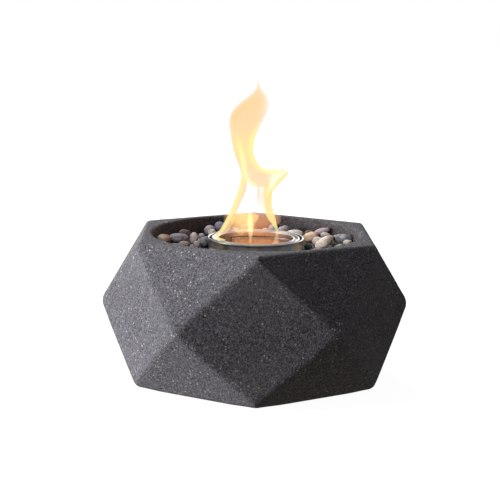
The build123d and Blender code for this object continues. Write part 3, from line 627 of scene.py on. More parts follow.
# ---------------------------------------------------------------- pebbles
# centre x, y, z, half axes, turns about X, Y and Z in degrees, one line of numbers for each pebble, in millimetres
PEBBLES = {
    "pebble_tan_left": [
        (-90.43, 15.53, 131.29, 6.78, 7.58, 3.98, 5.5, 3.1, 10.2),
    ],
    "pebble_slate_left": [
        (-76.74, 30.37, 129.4, 10.38, 7.78, 4.48, 5.0, -2.0, -6.0),
    ],
    "pebble_plum_left_back": [
        (-71.35, 49.68, 131.0, 6.18, 5.18, 3.78, 8.0, -0.0, 12.0),
    ],
    "pebble_speckled_left": [
        (-61.26, 29.11, 129.6, 4.08, 4.38, 5.98, -0.0, -0.0, 0.0),
    ],
    "pebble_mauve_left": [
        (-46.34, 68.7, 131.37, 5.68, 4.98, 4.88, -0.0, -8.0, 15.0),
    ],
    "pebble_violet_back_left": [
        (-35.65, 82.2, 132.88, 5.98, 4.98, 4.98, -0.6, 9.3, -6.8),
    ],
    "pebble_white_left": [
        (-54.01, 44.65, 129.4, 3.18, 3.28, 2.68, 0.0, -0.0, 10.0),
    ],
    "pebble_pale_green_left": [
        (-43.69, 58.81, 129.93, 4.08, 4.98, 3.88, 8.0, -6.0, -0.0),
    ],
    "pebble_cream_left_front": [
        (-70.44, 7.04, 127.03, 6.18, 4.98, 3.38, -0.4, -0.0, -0.2),
    ],
    "pebble_pink_left_front": [
        (-57.59, 5.69, 127.4, 3.48, 3.98, 3.88, 0.0, -8.0, -0.0),
    ],
    "pebble_blue_beside_burner": [
        (-51.6, 13.88, 128.44, 4.58, 4.98, 5.08, 0.3, 0.2, -0.1),
    ],
    "pebble_brown_back": [
        (30.2, 77.33, 131.2, 5.98, 5.18, 3.98, 0.0, -10.0, 10.0),
    ],
    "pebble_olive_right": [
        (40.99, 56.58, 130.1, 9.38, 6.78, 4.48, 0.0, 0.0, 6.1),
    ],
    "pebble_dark_plum_right": [
        (54.93, 52.31, 130.38, 5.18, 5.38, 3.78, -0.1, -4.0, 8.1),
    ],
    "pebble_tan_right": [
        (56.0, 39.55, 129.92, 7.98, 6.98, 4.78, 0.0, -14.0, 12.0),
    ],
    "pebble_pink_right_back": [
        (69.31, 60.14, 132.71, 8.18, 4.98, 3.38, 0.0, -14.0, 10.0),
    ],
    "pebble_grey_white_right": [
        (71.86, 46.3, 131.0, 5.18, 4.18, 3.08, 0.0, 6.0, -6.0),
    ],
    "pebble_lilac_right": [
        (62.29, 26.85, 128.8, 5.28, 5.08, 3.88, 0.0, -14.0, 20.0),
    ],
    "pebble_beige_right": [
        (68.86, 14.97, 129.6, 10.98, 6.58, 4.98, 0.0, -29.0, 16.0),
    ],
    "pebble_grey_right": [
        (87.11, 21.48, 131.82, 9.58, 7.78, 4.98, -0.2, 1.3, -20.3),
    ],
    "pebble_cream_right": [
        (91.14, 9.63, 130.71, 4.38, 3.58, 2.48, 0.0, -10.0, -10.0),
    ],
    "pebble_dark_green_right": [
        (52.03, 7.73, 126.33, 3.78, 3.98, 3.18, 0.0, -0.0, -0.0),
    ],
    "pebbles_top_brown": [
        (-1.77, -93.34, 125.43, 5.92, 5.81, 3.39, 100.1, -29.7, -7.2), (-5.74, 91.23, 130.31, 9.69, 5.6, 4.54, 10.9, -0.8, -149.6),
        (27.86, -73.92, 127.49, 6.01, 4.93, 3.37, -29.7, -3.4, 31.0), (-25.97, -72.9, 128.42, 7.26, 5.3, 3.13, 24.4, -16.3, -80.8),
        (-47.55, 24.95, 125.1, 6.32, 7.5, 3.54, 36.5, -42.1, 95.2), (90.51, -1.59, 121.59, 6.32, 4.92, 3.64, -32.7, 46.8, -50.7),
    ],
    "pebbles_top_cream": [
        (-88.57, -27.62, 127.1, 9.23, 5.5, 3.91, 82.7, -45.2, -70.3), (19.1, 78.32, 125.51, 7.84, 5.17, 3.29, -113.4, -2.6, 51.6),
        (-79.98, -47.78, 124.22, 3.64, 3.24, 2.55, 1.9, -3.6, -177.2),
    ],
    "pebbles_top_grey": [
        (19.93, 50.77, 127.75, 7.13, 7.41, 3.66, -7.8, 49.2, -90.9), (59.21, -41.42, 128.84, 6.86, 6.83, 3.68, 26.4, 3.9, -177.8),
        (-68.29, -40.36, 129.53, 7.22, 5.64, 3.32, -8.9, -2.5, 61.4), (79.87, -19.53, 129.68, 6.25, 6.08, 3.57, 37.2, -9.7, -92.7),
        (43.02, -69.68, 127.01, 6.78, 5.71, 3.44, 34.0, 1.6, -65.5), (20.0, 90.58, 127.9, 6.56, 6.31, 4.5, -52.9, -25.3, 138.4),
        (-57.09, -61.51, 128.14, 6.01, 5.16, 3.18, -13.8, 38.9, 131.5), (46.98, -79.03, 123.42, 4.93, 3.87, 3.27, 3.6, -19.5, -70.4),
        (-91.54, -15.82, 125.36, 4.0, 3.17, 2.34, 9.1, 13.7, 162.2), (10.25, -51.12, 124.14, 3.69, 3.29, 2.22, 11.0, -1.0, 62.4),
        (64.19, -67.89, 124.29, 3.23, 3.01, 2.11, 8.9, 1.8, 85.2), (69.43, 36.84, 125.3, 4.69, 3.6, 2.99, 104.2, 34.2, 86.0),
        (-10.34, -60.68, 123.89, 4.22, 3.49, 2.84, 5.8, 1.2, 77.9),
    ],
    "pebbles_top_mauve": [
        (-47.79, -72.86, 127.65, 5.95, 5.03, 3.47, 5.8, 10.9, 51.7), (7.33, 59.51, 128.82, 9.44, 4.97, 4.25, 41.2, -39.7, -12.4),
        (65.04, -22.26, 124.34, 5.36, 4.75, 3.58, 5.6, -2.3, 170.7),
    ],
    "pebbles_top_olive": [
        (-14.11, -91.63, 128.02, 6.41, 5.99, 2.97, -176.0, 33.9, 104.1), (39.24, 73.24, 127.55, 6.42, 5.48, 3.49, 19.6, -21.3, -48.5),
        (90.93, -12.99, 129.2, 7.98, 5.78, 4.24, -2.6, 17.2, 68.3), (-64.67, -54.42, 128.7, 7.41, 7.41, 3.24, -2.7, -21.6, -22.4),
        (82.2, 37.53, 126.52, 7.07, 5.76, 4.28, 33.5, -44.5, -136.5), (-50.18, 56.1, 122.69, 4.55, 3.71, 2.99, 65.2, -19.8, -63.7),
        (41.37, -58.51, 124.17, 4.11, 3.58, 2.61, -26.1, -6.4, 126.0), (81.6, -39.16, 122.9, 5.66, 5.04, 3.72, 8.5, -0.1, -39.2),
    ],
    "pebbles_top_plum": [
        (17.67, -75.68, 129.43, 6.63, 4.94, 3.36, 6.8, 1.1, -95.1), (57.18, 67.42, 127.62, 9.93, 5.65, 4.5, 19.1, 2.4, 81.6),
        (-22.03, 86.95, 127.57, 8.57, 7.4, 3.44, 7.4, 12.7, -97.4), (6.95, -78.77, 123.5, 5.64, 4.85, 3.24, -5.3, -12.5, -12.9),
    ],
    "pebbles_top_slate": [
        (-21.05, 57.27, 129.28, 9.55, 7.34, 4.96, 29.1, 15.0, -129.8), (56.01, -52.93, 129.55, 6.31, 5.15, 3.51, 15.8, 13.2, 119.7),
        (-75.63, -22.98, 129.2, 7.18, 7.3, 4.4, -11.2, 1.3, -45.0), (-27.22, 73.07, 128.73, 9.36, 5.47, 3.44, 5.8, -9.9, -62.5),
        (-35.3, -86.5, 125.22, 6.99, 5.06, 3.41, 95.0, 38.6, -13.1), (-39.28, 41.78, 127.51, 8.07, 6.25, 4.52, -20.7, 8.6, 121.6),
        (7.21, -88.45, 127.63, 6.2, 5.51, 3.3, -14.0, 16.0, -17.2), (-8.78, 67.59, 127.08, 9.43, 5.42, 3.6, 39.5, 16.5, 116.5),
        (42.48, -29.9, 125.22, 3.81, 3.3, 2.19, 19.3, -5.2, -151.0), (-57.04, -11.96, 123.84, 4.09, 3.15, 2.62, 7.9, -1.6, 32.1),
        (-74.08, -55.25, 123.54, 4.33, 3.54, 2.91, -0.7, 22.4, 21.9),
    ],
    "pebbles_top_tan": [
        (-56.17, -41.58, 126.76, 7.16, 6.92, 4.27, 32.1, 65.9, 127.2), (76.43, -35.65, 130.07, 7.37, 6.38, 4.53, 40.0, 12.6, -147.6),
        (-44.88, -33.4, 127.13, 10.2, 6.88, 3.39, -2.0, -13.7, -65.5), (-9.31, -75.97, 127.23, 7.65, 4.84, 3.6, -14.0, -1.4, 13.4),
        (8.1, -61.91, 125.05, 3.43, 2.82, 1.94, 10.8, 18.1, -18.3),
    ],
    "pebbles_under_brown": [
        (-70.89, 49.68, 121.48, 6.5, 5.18, 5.26, -0.2, 2.9, -5.6), (-57.92, 6.73, 119.65, 4.78, 4.38, 3.43, 1.0, -2.1, 10.0),
        (41.81, 57.11, 120.7, 7.38, 6.38, 4.48, -2.9, -1.3, 1.7), (68.0, 55.56, 122.09, 7.38, 4.98, 6.11, 28.7, 0.7, 7.1),
        (67.16, 45.52, 121.7, 5.45, 4.38, 5.61, 17.9, -41.1, -15.1), (2.36, 70.83, 121.02, 8.31, 8.1, 4.76, 4.8, 3.4, -121.6),
        (-51.14, -65.41, 121.21, 9.79, 6.8, 4.85, 12.2, -4.6, 23.8), (-59.66, 62.24, 121.0, 7.3, 6.27, 4.79, -1.9, -0.7, -63.0),
        (45.43, 32.39, 120.74, 7.72, 5.28, 4.27, -28.6, 0.5, 104.6), (-37.38, 73.42, 119.32, 4.72, 3.63, 2.83, 20.9, 15.8, -67.7),
        (2.86, 55.56, 119.46, 5.25, 4.31, 3.19, 10.7, 3.9, 123.5), (22.29, 87.26, 119.13, 5.12, 4.16, 2.92, -5.0, 0.4, 32.4),
        (-92.14, -7.88, 123.31, 4.18, 3.92, 2.81, 1.5, 4.1, -105.1), (-43.93, -29.31, 119.56, 5.27, 3.87, 3.18, 8.3, -13.6, -84.8),
        (-51.31, -16.6, 119.67, 6.42, 4.94, 3.46, -1.7, -0.7, -81.7), (6.64, -90.74, 119.7, 5.12, 4.07, 3.24, -1.6, -19.0, 27.9),
        (-36.84, 63.43, 119.85, 4.7, 3.82, 2.58, -63.0, 10.6, -42.6), (-50.77, -76.77, 122.31, 4.64, 4.15, 2.78, -14.5, 12.5, 4.3),
        (-49.22, -38.07, 119.0, 5.03, 4.12, 2.76, -6.1, 5.6, -88.1), (-11.47, 70.45, 119.14, 5.18, 4.19, 2.88, 1.2, -7.3, -125.6),
        (76.9, 42.68, 119.47, 4.83, 4.3, 3.22, 176.7, 7.4, -70.2), (-54.42, 23.85, 119.67, 5.54, 4.47, 3.24, 14.6, 12.4, -1.7),
    ],
    "pebbles_under_grey": [
        (-87.44, 15.14, 121.51, 7.13, 6.38, 5.29, -0.1, 3.2, 21.5), (-62.04, 30.31, 119.73, 4.78, 4.38, 3.48, -7.8, -5.2, -10.2),
        (-46.6, 66.77, 121.15, 5.98, 4.98, 4.91, 19.3, -7.3, 23.2), (-56.09, 50.14, 120.73, 4.78, 4.38, 5.03, -64.6, -7.8, 16.1),
        (-42.16, 57.17, 120.93, 4.78, 4.98, 4.68, 15.8, 16.4, 0.2), (54.85, 50.91, 121.19, 5.45, 5.38, 4.96, 7.9, -2.3, 26.0),
        (56.56, 38.85, 120.37, 7.38, 6.38, 4.12, 4.6, 3.3, 7.3), (52.77, 8.02, 119.46, 4.78, 4.38, 3.24, -1.7, -1.9, -6.3),
        (13.73, 59.76, 122.04, 10.05, 6.76, 4.45, 41.8, 11.2, -95.4), (23.73, 67.78, 121.01, 7.25, 5.67, 4.67, -20.0, 1.8, -58.6),
        (28.89, 53.15, 121.25, 8.0, 6.65, 4.29, 31.2, -2.6, -54.6), (-6.15, -82.89, 120.55, 10.74, 6.61, 4.33, 2.5, -0.1, 159.7),
        (0.02, -54.84, 121.92, 8.52, 7.17, 4.4, -39.9, -2.5, -8.6), (-31.24, 48.36, 121.18, 8.63, 7.41, 4.96, 2.7, 0.5, 135.9),
        (-25.01, 67.69, 120.99, 8.4, 7.39, 4.78, -0.7, 1.7, 13.3), (-48.99, 35.26, 120.97, 6.34, 5.44, 4.73, 11.4, 0.3, -84.3),
        (51.74, -24.23, 121.7, 9.9, 8.08, 5.03, -12.8, 11.6, 101.4), (-10.91, 57.0, 121.65, 9.47, 7.5, 5.38, -2.8, 5.1, 166.6),
        (-23.21, -83.63, 121.99, 8.0, 7.57, 4.39, 36.9, 6.6, -31.5), (-36.38, -42.41, 121.31, 10.14, 7.27, 5.08, 4.7, 0.9, 141.0),
        (16.45, -70.1, 121.24, 9.45, 7.71, 5.03, -0.1, -0.5, 153.8), (-18.91, -69.27, 121.37, 8.73, 7.79, 5.16, 0.6, 0.2, -97.0),
        (-54.54, -50.87, 120.97, 7.97, 7.75, 4.42, 16.0, 1.2, 157.6), (-19.57, -52.52, 121.2, 9.21, 7.43, 4.96, -4.3, 0.4, -16.1),
        (19.75, -86.21, 122.26, 10.03, 7.07, 4.44, -44.3, 10.5, 170.3), (-55.95, -3.33, 121.01, 6.62, 5.32, 4.74, 13.1, -4.9, 163.9),
        (43.58, -37.91, 122.95, 10.16, 6.75, 4.94, 71.2, 10.4, 177.6), (40.4, 83.5, 122.7, 3.33, 2.95, 2.27, 2.2, 4.1, 47.4),
        (73.21, 32.06, 119.73, 6.45, 5.42, 3.49, 2.0, 4.1, -179.8), (77.52, 51.33, 119.2, 3.87, 3.04, 2.13, -115.0, -16.6, -52.8),
        (57.96, 60.35, 120.33, 5.11, 4.38, 3.08, 46.8, -27.1, -147.3), (-79.61, 43.37, 118.9, 5.06, 3.99, 2.68, -1.7, 1.1, 51.2),
        (53.85, 28.92, 119.58, 3.79, 3.08, 2.42, 1.8, 53.4, 157.2), (27.59, -43.15, 121.92, 3.73, 3.38, 2.27, 53.1, 37.5, -166.4),
        (-43.67, -50.57, 122.9, 3.38, 3.11, 2.28, -1.7, -1.6, -120.7), (-89.37, 1.92, 120.44, 6.53, 5.3, 4.04, -20.2, 4.6, 46.1),
        (72.4, 24.33, 118.98, 3.59, 2.73, 1.94, -99.3, -13.0, 177.2), (-63.85, 19.03, 120.41, 6.59, 5.01, 4.07, -20.3, 0.1, 109.5),
        (81.77, 11.44, 118.69, 4.72, 3.91, 2.47, 0.1, 1.3, -57.1), (59.62, -45.97, 122.92, 4.19, 3.7, 2.96, -1.8, 3.0, -44.6),
        (-80.02, 7.67, 121.89, 4.55, 3.6, 2.63, 13.1, -2.6, -124.8), (-45.6, 77.16, 119.47, 5.05, 4.3, 3.25, 2.6, 2.7, 100.1),
        (-75.21, 18.49, 120.96, 6.26, 5.02, 4.26, -36.3, 18.8, -36.8), (-25.13, 86.39, 119.82, 5.68, 4.96, 3.55, 10.5, 2.5, -34.0),
        (84.38, 32.02, 120.87, 5.42, 4.46, 3.04, 10.4, 51.7, 83.8), (-65.69, -60.16, 120.48, 6.1, 5.58, 4.27, 0.9, -1.2, 159.8),
        (-70.61, 58.94, 120.17, 4.57, 3.82, 2.9, -53.4, 38.0, 51.9), (-63.25, -68.57, 123.43, 3.3, 2.93, 2.3, 0.0, 1.3, 168.6),
    ],
    "pebbles_under_slate": [
        (-76.99, 30.64, 120.33, 7.38, 6.38, 4.11, -0.8, -1.9, 8.4), (-51.55, 14.41, 119.57, 4.82, 4.98, 3.34, -4.3, 2.4, -6.3),
        (30.85, 81.87, 121.44, 6.29, 5.18, 5.24, -50.0, 6.4, 7.1), (62.34, 26.65, 120.3, 5.56, 5.08, 4.08, 2.4, -0.4, 18.4),
        (86.18, 20.9, 121.27, 7.38, 6.38, 5.05, 2.8, -0.7, -33.4), (-69.45, -44.23, 121.1, 8.02, 7.89, 4.89, -1.1, -0.5, 29.3),
        (84.36, -11.86, 121.34, 8.18, 6.64, 4.19, 10.6, 23.8, 92.4), (47.52, 73.99, 120.91, 9.64, 6.75, 4.69, 2.3, 1.0, 153.5),
        (52.63, -67.8, 121.46, 9.96, 7.93, 5.24, -1.9, 2.3, 136.7), (-80.55, -34.29, 122.76, 9.42, 7.82, 4.61, 7.3, -34.2, -23.9),
        (-1.94, -68.52, 120.97, 8.72, 7.82, 4.72, 2.1, -4.3, 1.1), (65.33, -57.1, 121.78, 8.28, 8.22, 4.92, 11.7, 20.2, 4.6),
        (34.56, -80.45, 121.33, 8.05, 8.31, 4.89, -5.8, -12.5, 99.3), (-59.32, -29.58, 120.88, 10.66, 7.32, 4.65, -1.9, -1.3, -165.7),
        (48.87, -50.56, 121.4, 9.81, 7.66, 4.65, 18.4, 8.8, 144.8), (66.51, -36.31, 120.83, 10.62, 8.16, 4.61, 2.2, -1.7, -44.6),
        (32.36, -64.3, 120.84, 8.0, 8.11, 4.52, -0.7, 8.5, 63.7), (-34.11, -59.57, 121.78, 10.26, 7.33, 5.16, -9.3, 12.7, 141.5),
        (20.31, -53.38, 121.1, 8.74, 7.92, 4.76, 9.7, -0.6, -119.9), (-10.93, 85.03, 121.23, 10.55, 8.17, 5.02, -1.9, -0.5, -118.4),
        (-53.8, 72.15, 120.84, 4.83, 4.02, 3.16, -30.2, 66.2, 96.3), (-61.3, 41.17, 120.67, 6.47, 5.0, 4.24, 24.4, -9.7, 125.1),
        (35.22, 40.71, 120.9, 5.86, 5.37, 4.08, -17.5, 30.6, -29.6), (52.0, 19.88, 119.93, 6.26, 5.28, 3.71, 0.4, 0.1, -48.1),
        (-88.78, 25.01, 119.27, 3.64, 3.17, 2.5, -7.0, 41.3, -25.9), (-13.32, -91.16, 120.77, 4.33, 3.47, 2.94, -16.3, -1.7, -9.3),
        (13.56, 74.97, 119.04, 4.96, 3.93, 2.8, 1.0, 6.8, -84.6), (-45.17, 46.7, 119.66, 5.92, 5.36, 3.44, -0.5, -2.9, 9.5),
        (33.91, -47.54, 119.63, 5.94, 5.56, 3.4, -2.6, 1.7, 66.5), (69.93, 3.99, 121.4, 5.98, 5.08, 4.25, -4.3, -5.1, -103.6),
        (46.74, 44.71, 119.58, 4.63, 4.3, 2.93, 31.6, -3.7, -102.9), (-73.93, -28.35, 118.44, 4.11, 3.5, 2.23, 0.3, 0.0, -141.4),
        (76.31, -49.11, 121.6, 5.5, 4.7, 3.39, 5.6, -7.1, 93.2),
    ],
    "pebbles_under_tan": [
        (-35.22, 82.72, 121.58, 6.29, 4.98, 5.37, -9.8, -3.2, -29.3), (-70.37, 7.01, 119.71, 6.5, 4.98, 3.48, -6.0, -0.4, 14.4),
        (68.72, 15.94, 119.34, 7.38, 6.38, 3.04, 7.0, -2.2, 14.5), (80.63, 0.8, 120.61, 4.78, 4.38, 5.75, 93.6, 10.3, -117.2),
        (-37.54, -75.41, 121.21, 8.33, 7.98, 4.98, 3.0, 2.1, -4.3), (-82.55, -15.64, 121.22, 10.11, 7.17, 4.98, 6.4, -0.5, -81.4),
        (7.22, 86.88, 122.06, 10.52, 6.81, 5.16, 6.8, -17.3, 162.8), (-66.94, -17.56, 120.93, 8.32, 6.65, 4.24, -156.7, -4.2, -159.3),
        (57.56, -5.71, 121.8, 9.71, 8.28, 4.69, 26.1, -3.7, -110.4), (79.67, -25.68, 121.28, 10.03, 7.79, 4.85, 13.7, -0.9, 166.3),
        (-69.06, -5.33, 121.76, 6.88, 5.75, 5.48, 16.7, 9.4, 159.9), (70.56, -10.5, 120.93, 8.55, 6.51, 4.67, 3.9, -4.8, -103.7),
        (61.12, 6.34, 118.5, 3.53, 2.82, 2.08, -10.3, 18.7, 12.3), (-69.8, 39.1, 119.19, 4.63, 3.84, 2.84, 20.0, -1.2, 129.9),
        (60.7, 68.38, 119.57, 4.83, 4.01, 2.87, 17.9, -23.5, 6.7), (35.49, 67.9, 120.62, 5.8, 5.4, 4.05, -7.7, -24.0, -77.8),
        (-38.21, 36.84, 119.69, 5.39, 4.38, 3.45, 1.9, -6.4, 30.2), (-80.27, -1.28, 119.14, 4.65, 3.82, 2.84, 1.1, 11.1, 74.0),
    ],
}


def unit_ball(level):
    bm = bmesh.new()
    bmesh.ops.create_icosphere(bm, subdivisions=level, radius=1.0)
    bm.verts.ensure_lookup_table()
    v = np.array([x.co for x in bm.verts])
    f = [tuple(x.index for x in p.verts) for p in bm.faces]
    bm.free()
    return v / np.linalg.norm(v, axis=1)[:, None], f


BALLS = {level: unit_ball(level) for level in (4, 5)}


def waves(d, rng, count, low, high):
    """A smooth uneven field on the sphere, from a few plane waves."""
    out = np.zeros(len(d))
    for _ in range(count):
        k = np.array([rng.gauss(0, 1) for _ in range(3)])
        k *= rng.uniform(low, high) / np.linalg.norm(k)
        out += math.cos(rng.uniform(0, 6.28)) * np.cos(d @ k) + math.sin(rng.uniform(0, 6.28)) * np.sin(d @ k)
    return out / count


def turn_matrix(tx, ty, tz):
    x, y, z = (math.radians(v) for v in (tx, ty, tz))
    rx = np.array([[1, 0, 0], [0, math.cos(x), -math.sin(x)], [0, math.sin(x), math.cos(x)]])
    ry = np.array([[math.cos(y), 0, math.sin(y)], [0, 1, 0], [-math.sin(y), 0, math.cos(y)]])
    rz = np.array([[math.cos(z), -math.sin(z), 0], [math.sin(z), math.cos(z), 0], [0, 0, 1]])
    return rz @ ry @ rx


def pebble_points(row, level, rng):
    """A river pebble: an ellipsoid with worn flats, a slight taper and low swells, kept to the size of the plain one."""
    x, y, z, a, b, c, tx, ty, tz = row
    d, faces = BALLS[level]
    e = rng.uniform(0.86, 0.97)
    p = np.sign(d) * np.abs(d) ** e
    p /= np.linalg.norm(p, axis=1)[:, None] ** rng.uniform(0.45, 0.9)
    p *= (1 + 0.055 * waves(d, rng, 5, 1.2, 2.6) + 0.018 * waves(d, rng, 6, 4, 7))[:, None]
    for _ in range(3):  # flats
        n = np.array([rng.gauss(0, 1) for _ in range(3)])
        n /= np.linalg.norm(n)
        h, keep = rng.uniform(0.80, 0.92), 0.35
        s = p @ n
        over = np.maximum(s - h, 0)
        p -= ((over - over * keep) * smooth(over, -0.05, 0.08))[:, None] * n
    p[:, 1] *= 1 + rng.uniform(-0.12, 0.12) * p[:, 0]
    p[:, 2] *= 1 + rng.uniform(-0.12, 0.12) * p[:, 0]
    lo, hi = p.min(0), p.max(0)
    p = (p - (lo + hi) / 2) / ((hi - lo) / 2)
    p *= np.array([a + 0.15, b + 0.15, c + 0.10])
    return p @ turn_matrix(tx, ty, tz).T + np.array([x, y, z]), p / np.array([a, b, c]), faces


def build_pebbles(name, rows, level, seed):
    rng = random.Random(seed)
    verts, faces, tone, along, which = [], [], [], [], []
    for row in rows:
        pts, local, f = pebble_points(row, level, rng)
        off = len(verts)
        verts += list(pts)
        faces += [tuple(i + off for i in q) for q in f]
        t, w = rng.random(), rng.random()
        tone += [t] * len(pts)
        which += [w] * len(pts)
        along += list(local[:, 0])
    obj = mesh_object(name, verts, faces)
    float_attribute(obj, "tone", tone)
    float_attribute(obj, "which", which)
    float_attribute(obj, "along", along)
    return obj


def river_stone(name, a, b, c=None, size=3.0, contrast=1.0, specks=0.25, speck=(0.06, 0.055, 0.05), pale_specks=0.0,
                bands=0.0, ends=None, rough=(0.58, 0.78), vary=0.0, grit=1.0):
    """A tumbled stone, dry and dull: two tones clouded together, dark and pale mineral grains, faint bands, dull in its pores."""
    g = Graph(name)
    mm = g.mm()
    shift = g.node("ShaderNodeCombineXYZ", {0: g.math("MULTIPLY", g.attribute("which"), 90.0), 1: 3.0, 2: 7.0}).outputs[0]
    pos = g.node("ShaderNodeVectorMath", {0: mm, 1: shift}, operation="ADD").outputs[0]
    cloud = g.noise(size, 4, 0.6, 0.6, pos)
    grain = g.noise(0.7, 3, 0.65, 0.0, pos)
    fine = g.noise(0.28, 2, 0.6, 0.0, pos)
    m = g.ramp(g.math("ADD", g.math("MULTIPLY", cloud, 0.7), g.math("MULTIPLY", grain, 0.3)), 0.5 - 0.17 / contrast, 0.5 + 0.17 / contrast)
    colour = g.mix(m, a, b)
    if c is not None:
        patch = g.ramp(g.noise(size * 1.9, 2, 0.5, 0.8, pos), 0.53, 0.64)
        colour = g.mix(patch, colour, c)
    if ends is not None:
        colour = g.mix(g.ramp(g.math("ADD", g.attribute("along"), g.math("MULTIPLY", g.math("SUBTRACT", cloud, 0.5), 1.4)), -0.25, 0.55), colour, ends)
    if bands:
        w = g.node("ShaderNodeTexWave", {"Vector": pos, "Scale": 0.16, "Distortion": 5.0, "Detail": 2.0, "Detail Scale": 1.2}, wave_type="BANDS", bands_direction="DIAGONAL")
        colour = g.mix(g.math("MULTIPLY", g.ramp(w.outputs["Fac"], 0.72, 0.95), bands), colour, tuple(min(1.0, v * 1.7) for v in a))
    if vary:
        lighten = g.ramp(g.attribute("tone"), 0.0, 1.0, 0.0, vary, soft=False)
        colour = g.mix(lighten, colour, tuple(0.35 * v + 0.02 for v in a))
    v = g.cells(0.85, pos)
    pick = g.separate(v.outputs["Color"])
    dot = g.ramp(v.outputs["Distance"], 0.18, 0.36, 1.0, 0.0)
    dark = g.math("MULTIPLY", g.math("GREATER_THAN", pick[0], 0.78), dot)
    colour = g.mix(g.math("MULTIPLY", dark, specks), colour, speck)
    if pale_specks:
        lite = g.math("MULTIPLY", g.math("LESS_THAN", pick[0], 0.22), dot)
        colour = g.mix(g.math("MULTIPLY", lite, pale_specks), colour, (0.75, 0.72, 0.68))
    normal = g.bump(g.math("ADD", grain, g.math("MULTIPLY", fine, 0.5)), 0.22 * grit, 0.14)
    return g.surface(Base_Color=colour, Roughness=g.ramp(grain, 0.3, 0.7, rough[0], rough[1]), Normal=normal,
                     Specular_IOR_Level=0.32)


HERO_STONES = {
    "pebble_tan_left": dict(a=(0.28, 0.220, 0.165), b=(0.200, 0.150, 0.110), ends=(0.20, 0.095, 0.060), size=2.6, specks=0.35),
    "pebble_slate_left": dict(a=(0.120, 0.122, 0.142), b=(0.165, 0.160, 0.178), c=(0.10, 0.060, 0.066), size=5.0, specks=0.35),
    "pebble_plum_left_back": dict(a=(0.105, 0.074, 0.086), b=(0.064, 0.040, 0.048), size=3.0),
    "pebble_speckled_left": dict(a=(0.48, 0.435, 0.425), b=(0.30, 0.25, 0.25), size=1.4, specks=0.8, speck=(0.09, 0.06, 0.06), pale_specks=0.6, contrast=1.6),
    "pebble_mauve_left": dict(a=(0.200, 0.178, 0.197), b=(0.285, 0.262, 0.275), size=2.4, specks=0.45),
    "pebble_violet_back_left": dict(a=(0.200, 0.190, 0.290), b=(0.125, 0.100, 0.160), c=(0.085, 0.05, 0.065), size=3.0),
    "pebble_white_left": dict(a=(0.36, 0.35, 0.345), b=(0.19, 0.18, 0.175), size=1.6, specks=0.5),
    "pebble_pale_green_left": dict(a=(0.425, 0.405, 0.375), b=(0.290, 0.265, 0.245), size=2.2, specks=0.4),
    "pebble_cream_left_front": dict(a=(0.26, 0.205, 0.18), b=(0.13, 0.095, 0.08), size=2.0),
    "pebble_pink_left_front": dict(a=(0.34, 0.27, 0.26), b=(0.24, 0.18, 0.175), size=2.0),
    # painted shadow: this stone's near-black patches (c) stand in for the shade on it; its blue-grey tones are its own
    "pebble_blue_beside_burner": dict(a=(0.235, 0.240, 0.272), b=(0.150, 0.150, 0.168), c=(0.03, 0.03, 0.032), size=3.2),
    "pebble_brown_back": dict(a=(0.335, 0.290, 0.275), b=(0.215, 0.180, 0.170), size=2.4),
    "pebble_olive_right": dict(a=(0.430, 0.425, 0.375), b=(0.540, 0.525, 0.470), size=3.4, specks=0.4),
    # partly painted shade: a plum stone, but its near-black tone also stands in for the shade it lies in behind the
    # right-hand stones
    "pebble_dark_plum_right": dict(a=(0.060, 0.040, 0.040), b=(0.036, 0.023, 0.024), size=3.0),
    "pebble_tan_right": dict(a=(0.58, 0.41, 0.265), b=(0.46, 0.285, 0.170), c=(0.62, 0.50, 0.40), size=3.4, specks=0.3, bands=0.25),
    "pebble_pink_right_back": dict(a=(0.365, 0.290, 0.315), b=(0.255, 0.195, 0.225), size=3.0, bands=0.3),
    "pebble_grey_white_right": dict(a=(0.40, 0.39, 0.38), b=(0.29, 0.285, 0.28), c=(0.54, 0.51, 0.47), size=2.4, specks=0.5),
    "pebble_lilac_right": dict(a=(0.64, 0.55, 0.50), b=(0.50, 0.42, 0.385), size=2.6, specks=0.35),
    "pebble_beige_right": dict(a=(0.78, 0.70, 0.61), b=(0.64, 0.56, 0.475), ends=(0.27, 0.18, 0.125), size=4.0, specks=0.3, bands=0.3),
    "pebble_grey_right": dict(a=(0.120, 0.120, 0.130), b=(0.170, 0.170, 0.185), c=(0.27, 0.29, 0.335), size=2.2, specks=0.85, speck=(0.045, 0.045, 0.048), pale_specks=0.5, contrast=1.4),
    "pebble_cream_right": dict(a=(0.45, 0.42, 0.38), b=(0.32, 0.29, 0.255), size=2.4),
    # painted shade: this stone's near-black colour stands in for the shade in the gap between the burner and the pale
    # stones on the right; only its faint green is its own
    "pebble_dark_green_right": dict(a=(0.075, 0.078, 0.060), b=(0.045, 0.045, 0.036), size=2.4),
}
GROUP_STONES = {
    "brown": dict(a=(0.190, 0.140, 0.112), b=(0.120, 0.085, 0.068), size=3.2, vary=0.5),
    "cream": dict(a=(0.42, 0.385, 0.33), b=(0.31, 0.28, 0.235), size=3.0, specks=0.4, vary=0.25),
    "grey": dict(a=(0.215, 0.215, 0.220), b=(0.290, 0.288, 0.290), size=2.8, specks=0.55, vary=0.5),
    "mauve": dict(a=(0.295, 0.245, 0.262), b=(0.205, 0.165, 0.182), size=3.0, vary=0.35),
    "olive": dict(a=(0.275, 0.275, 0.230), b=(0.200, 0.196, 0.160), size=3.0, vary=0.4),
    "plum": dict(a=(0.130, 0.092, 0.098), b=(0.080, 0.054, 0.060), size=3.0, vary=0.3),
    "slate": dict(a=(0.130, 0.142, 0.168), b=(0.190, 0.200, 0.228), size=3.4, specks=0.35, vary=0.4),
    "tan": dict(a=(0.355, 0.260, 0.170), b=(0.260, 0.175, 0.105), size=3.0, vary=0.35),
}
group_material, STONES = {}, []
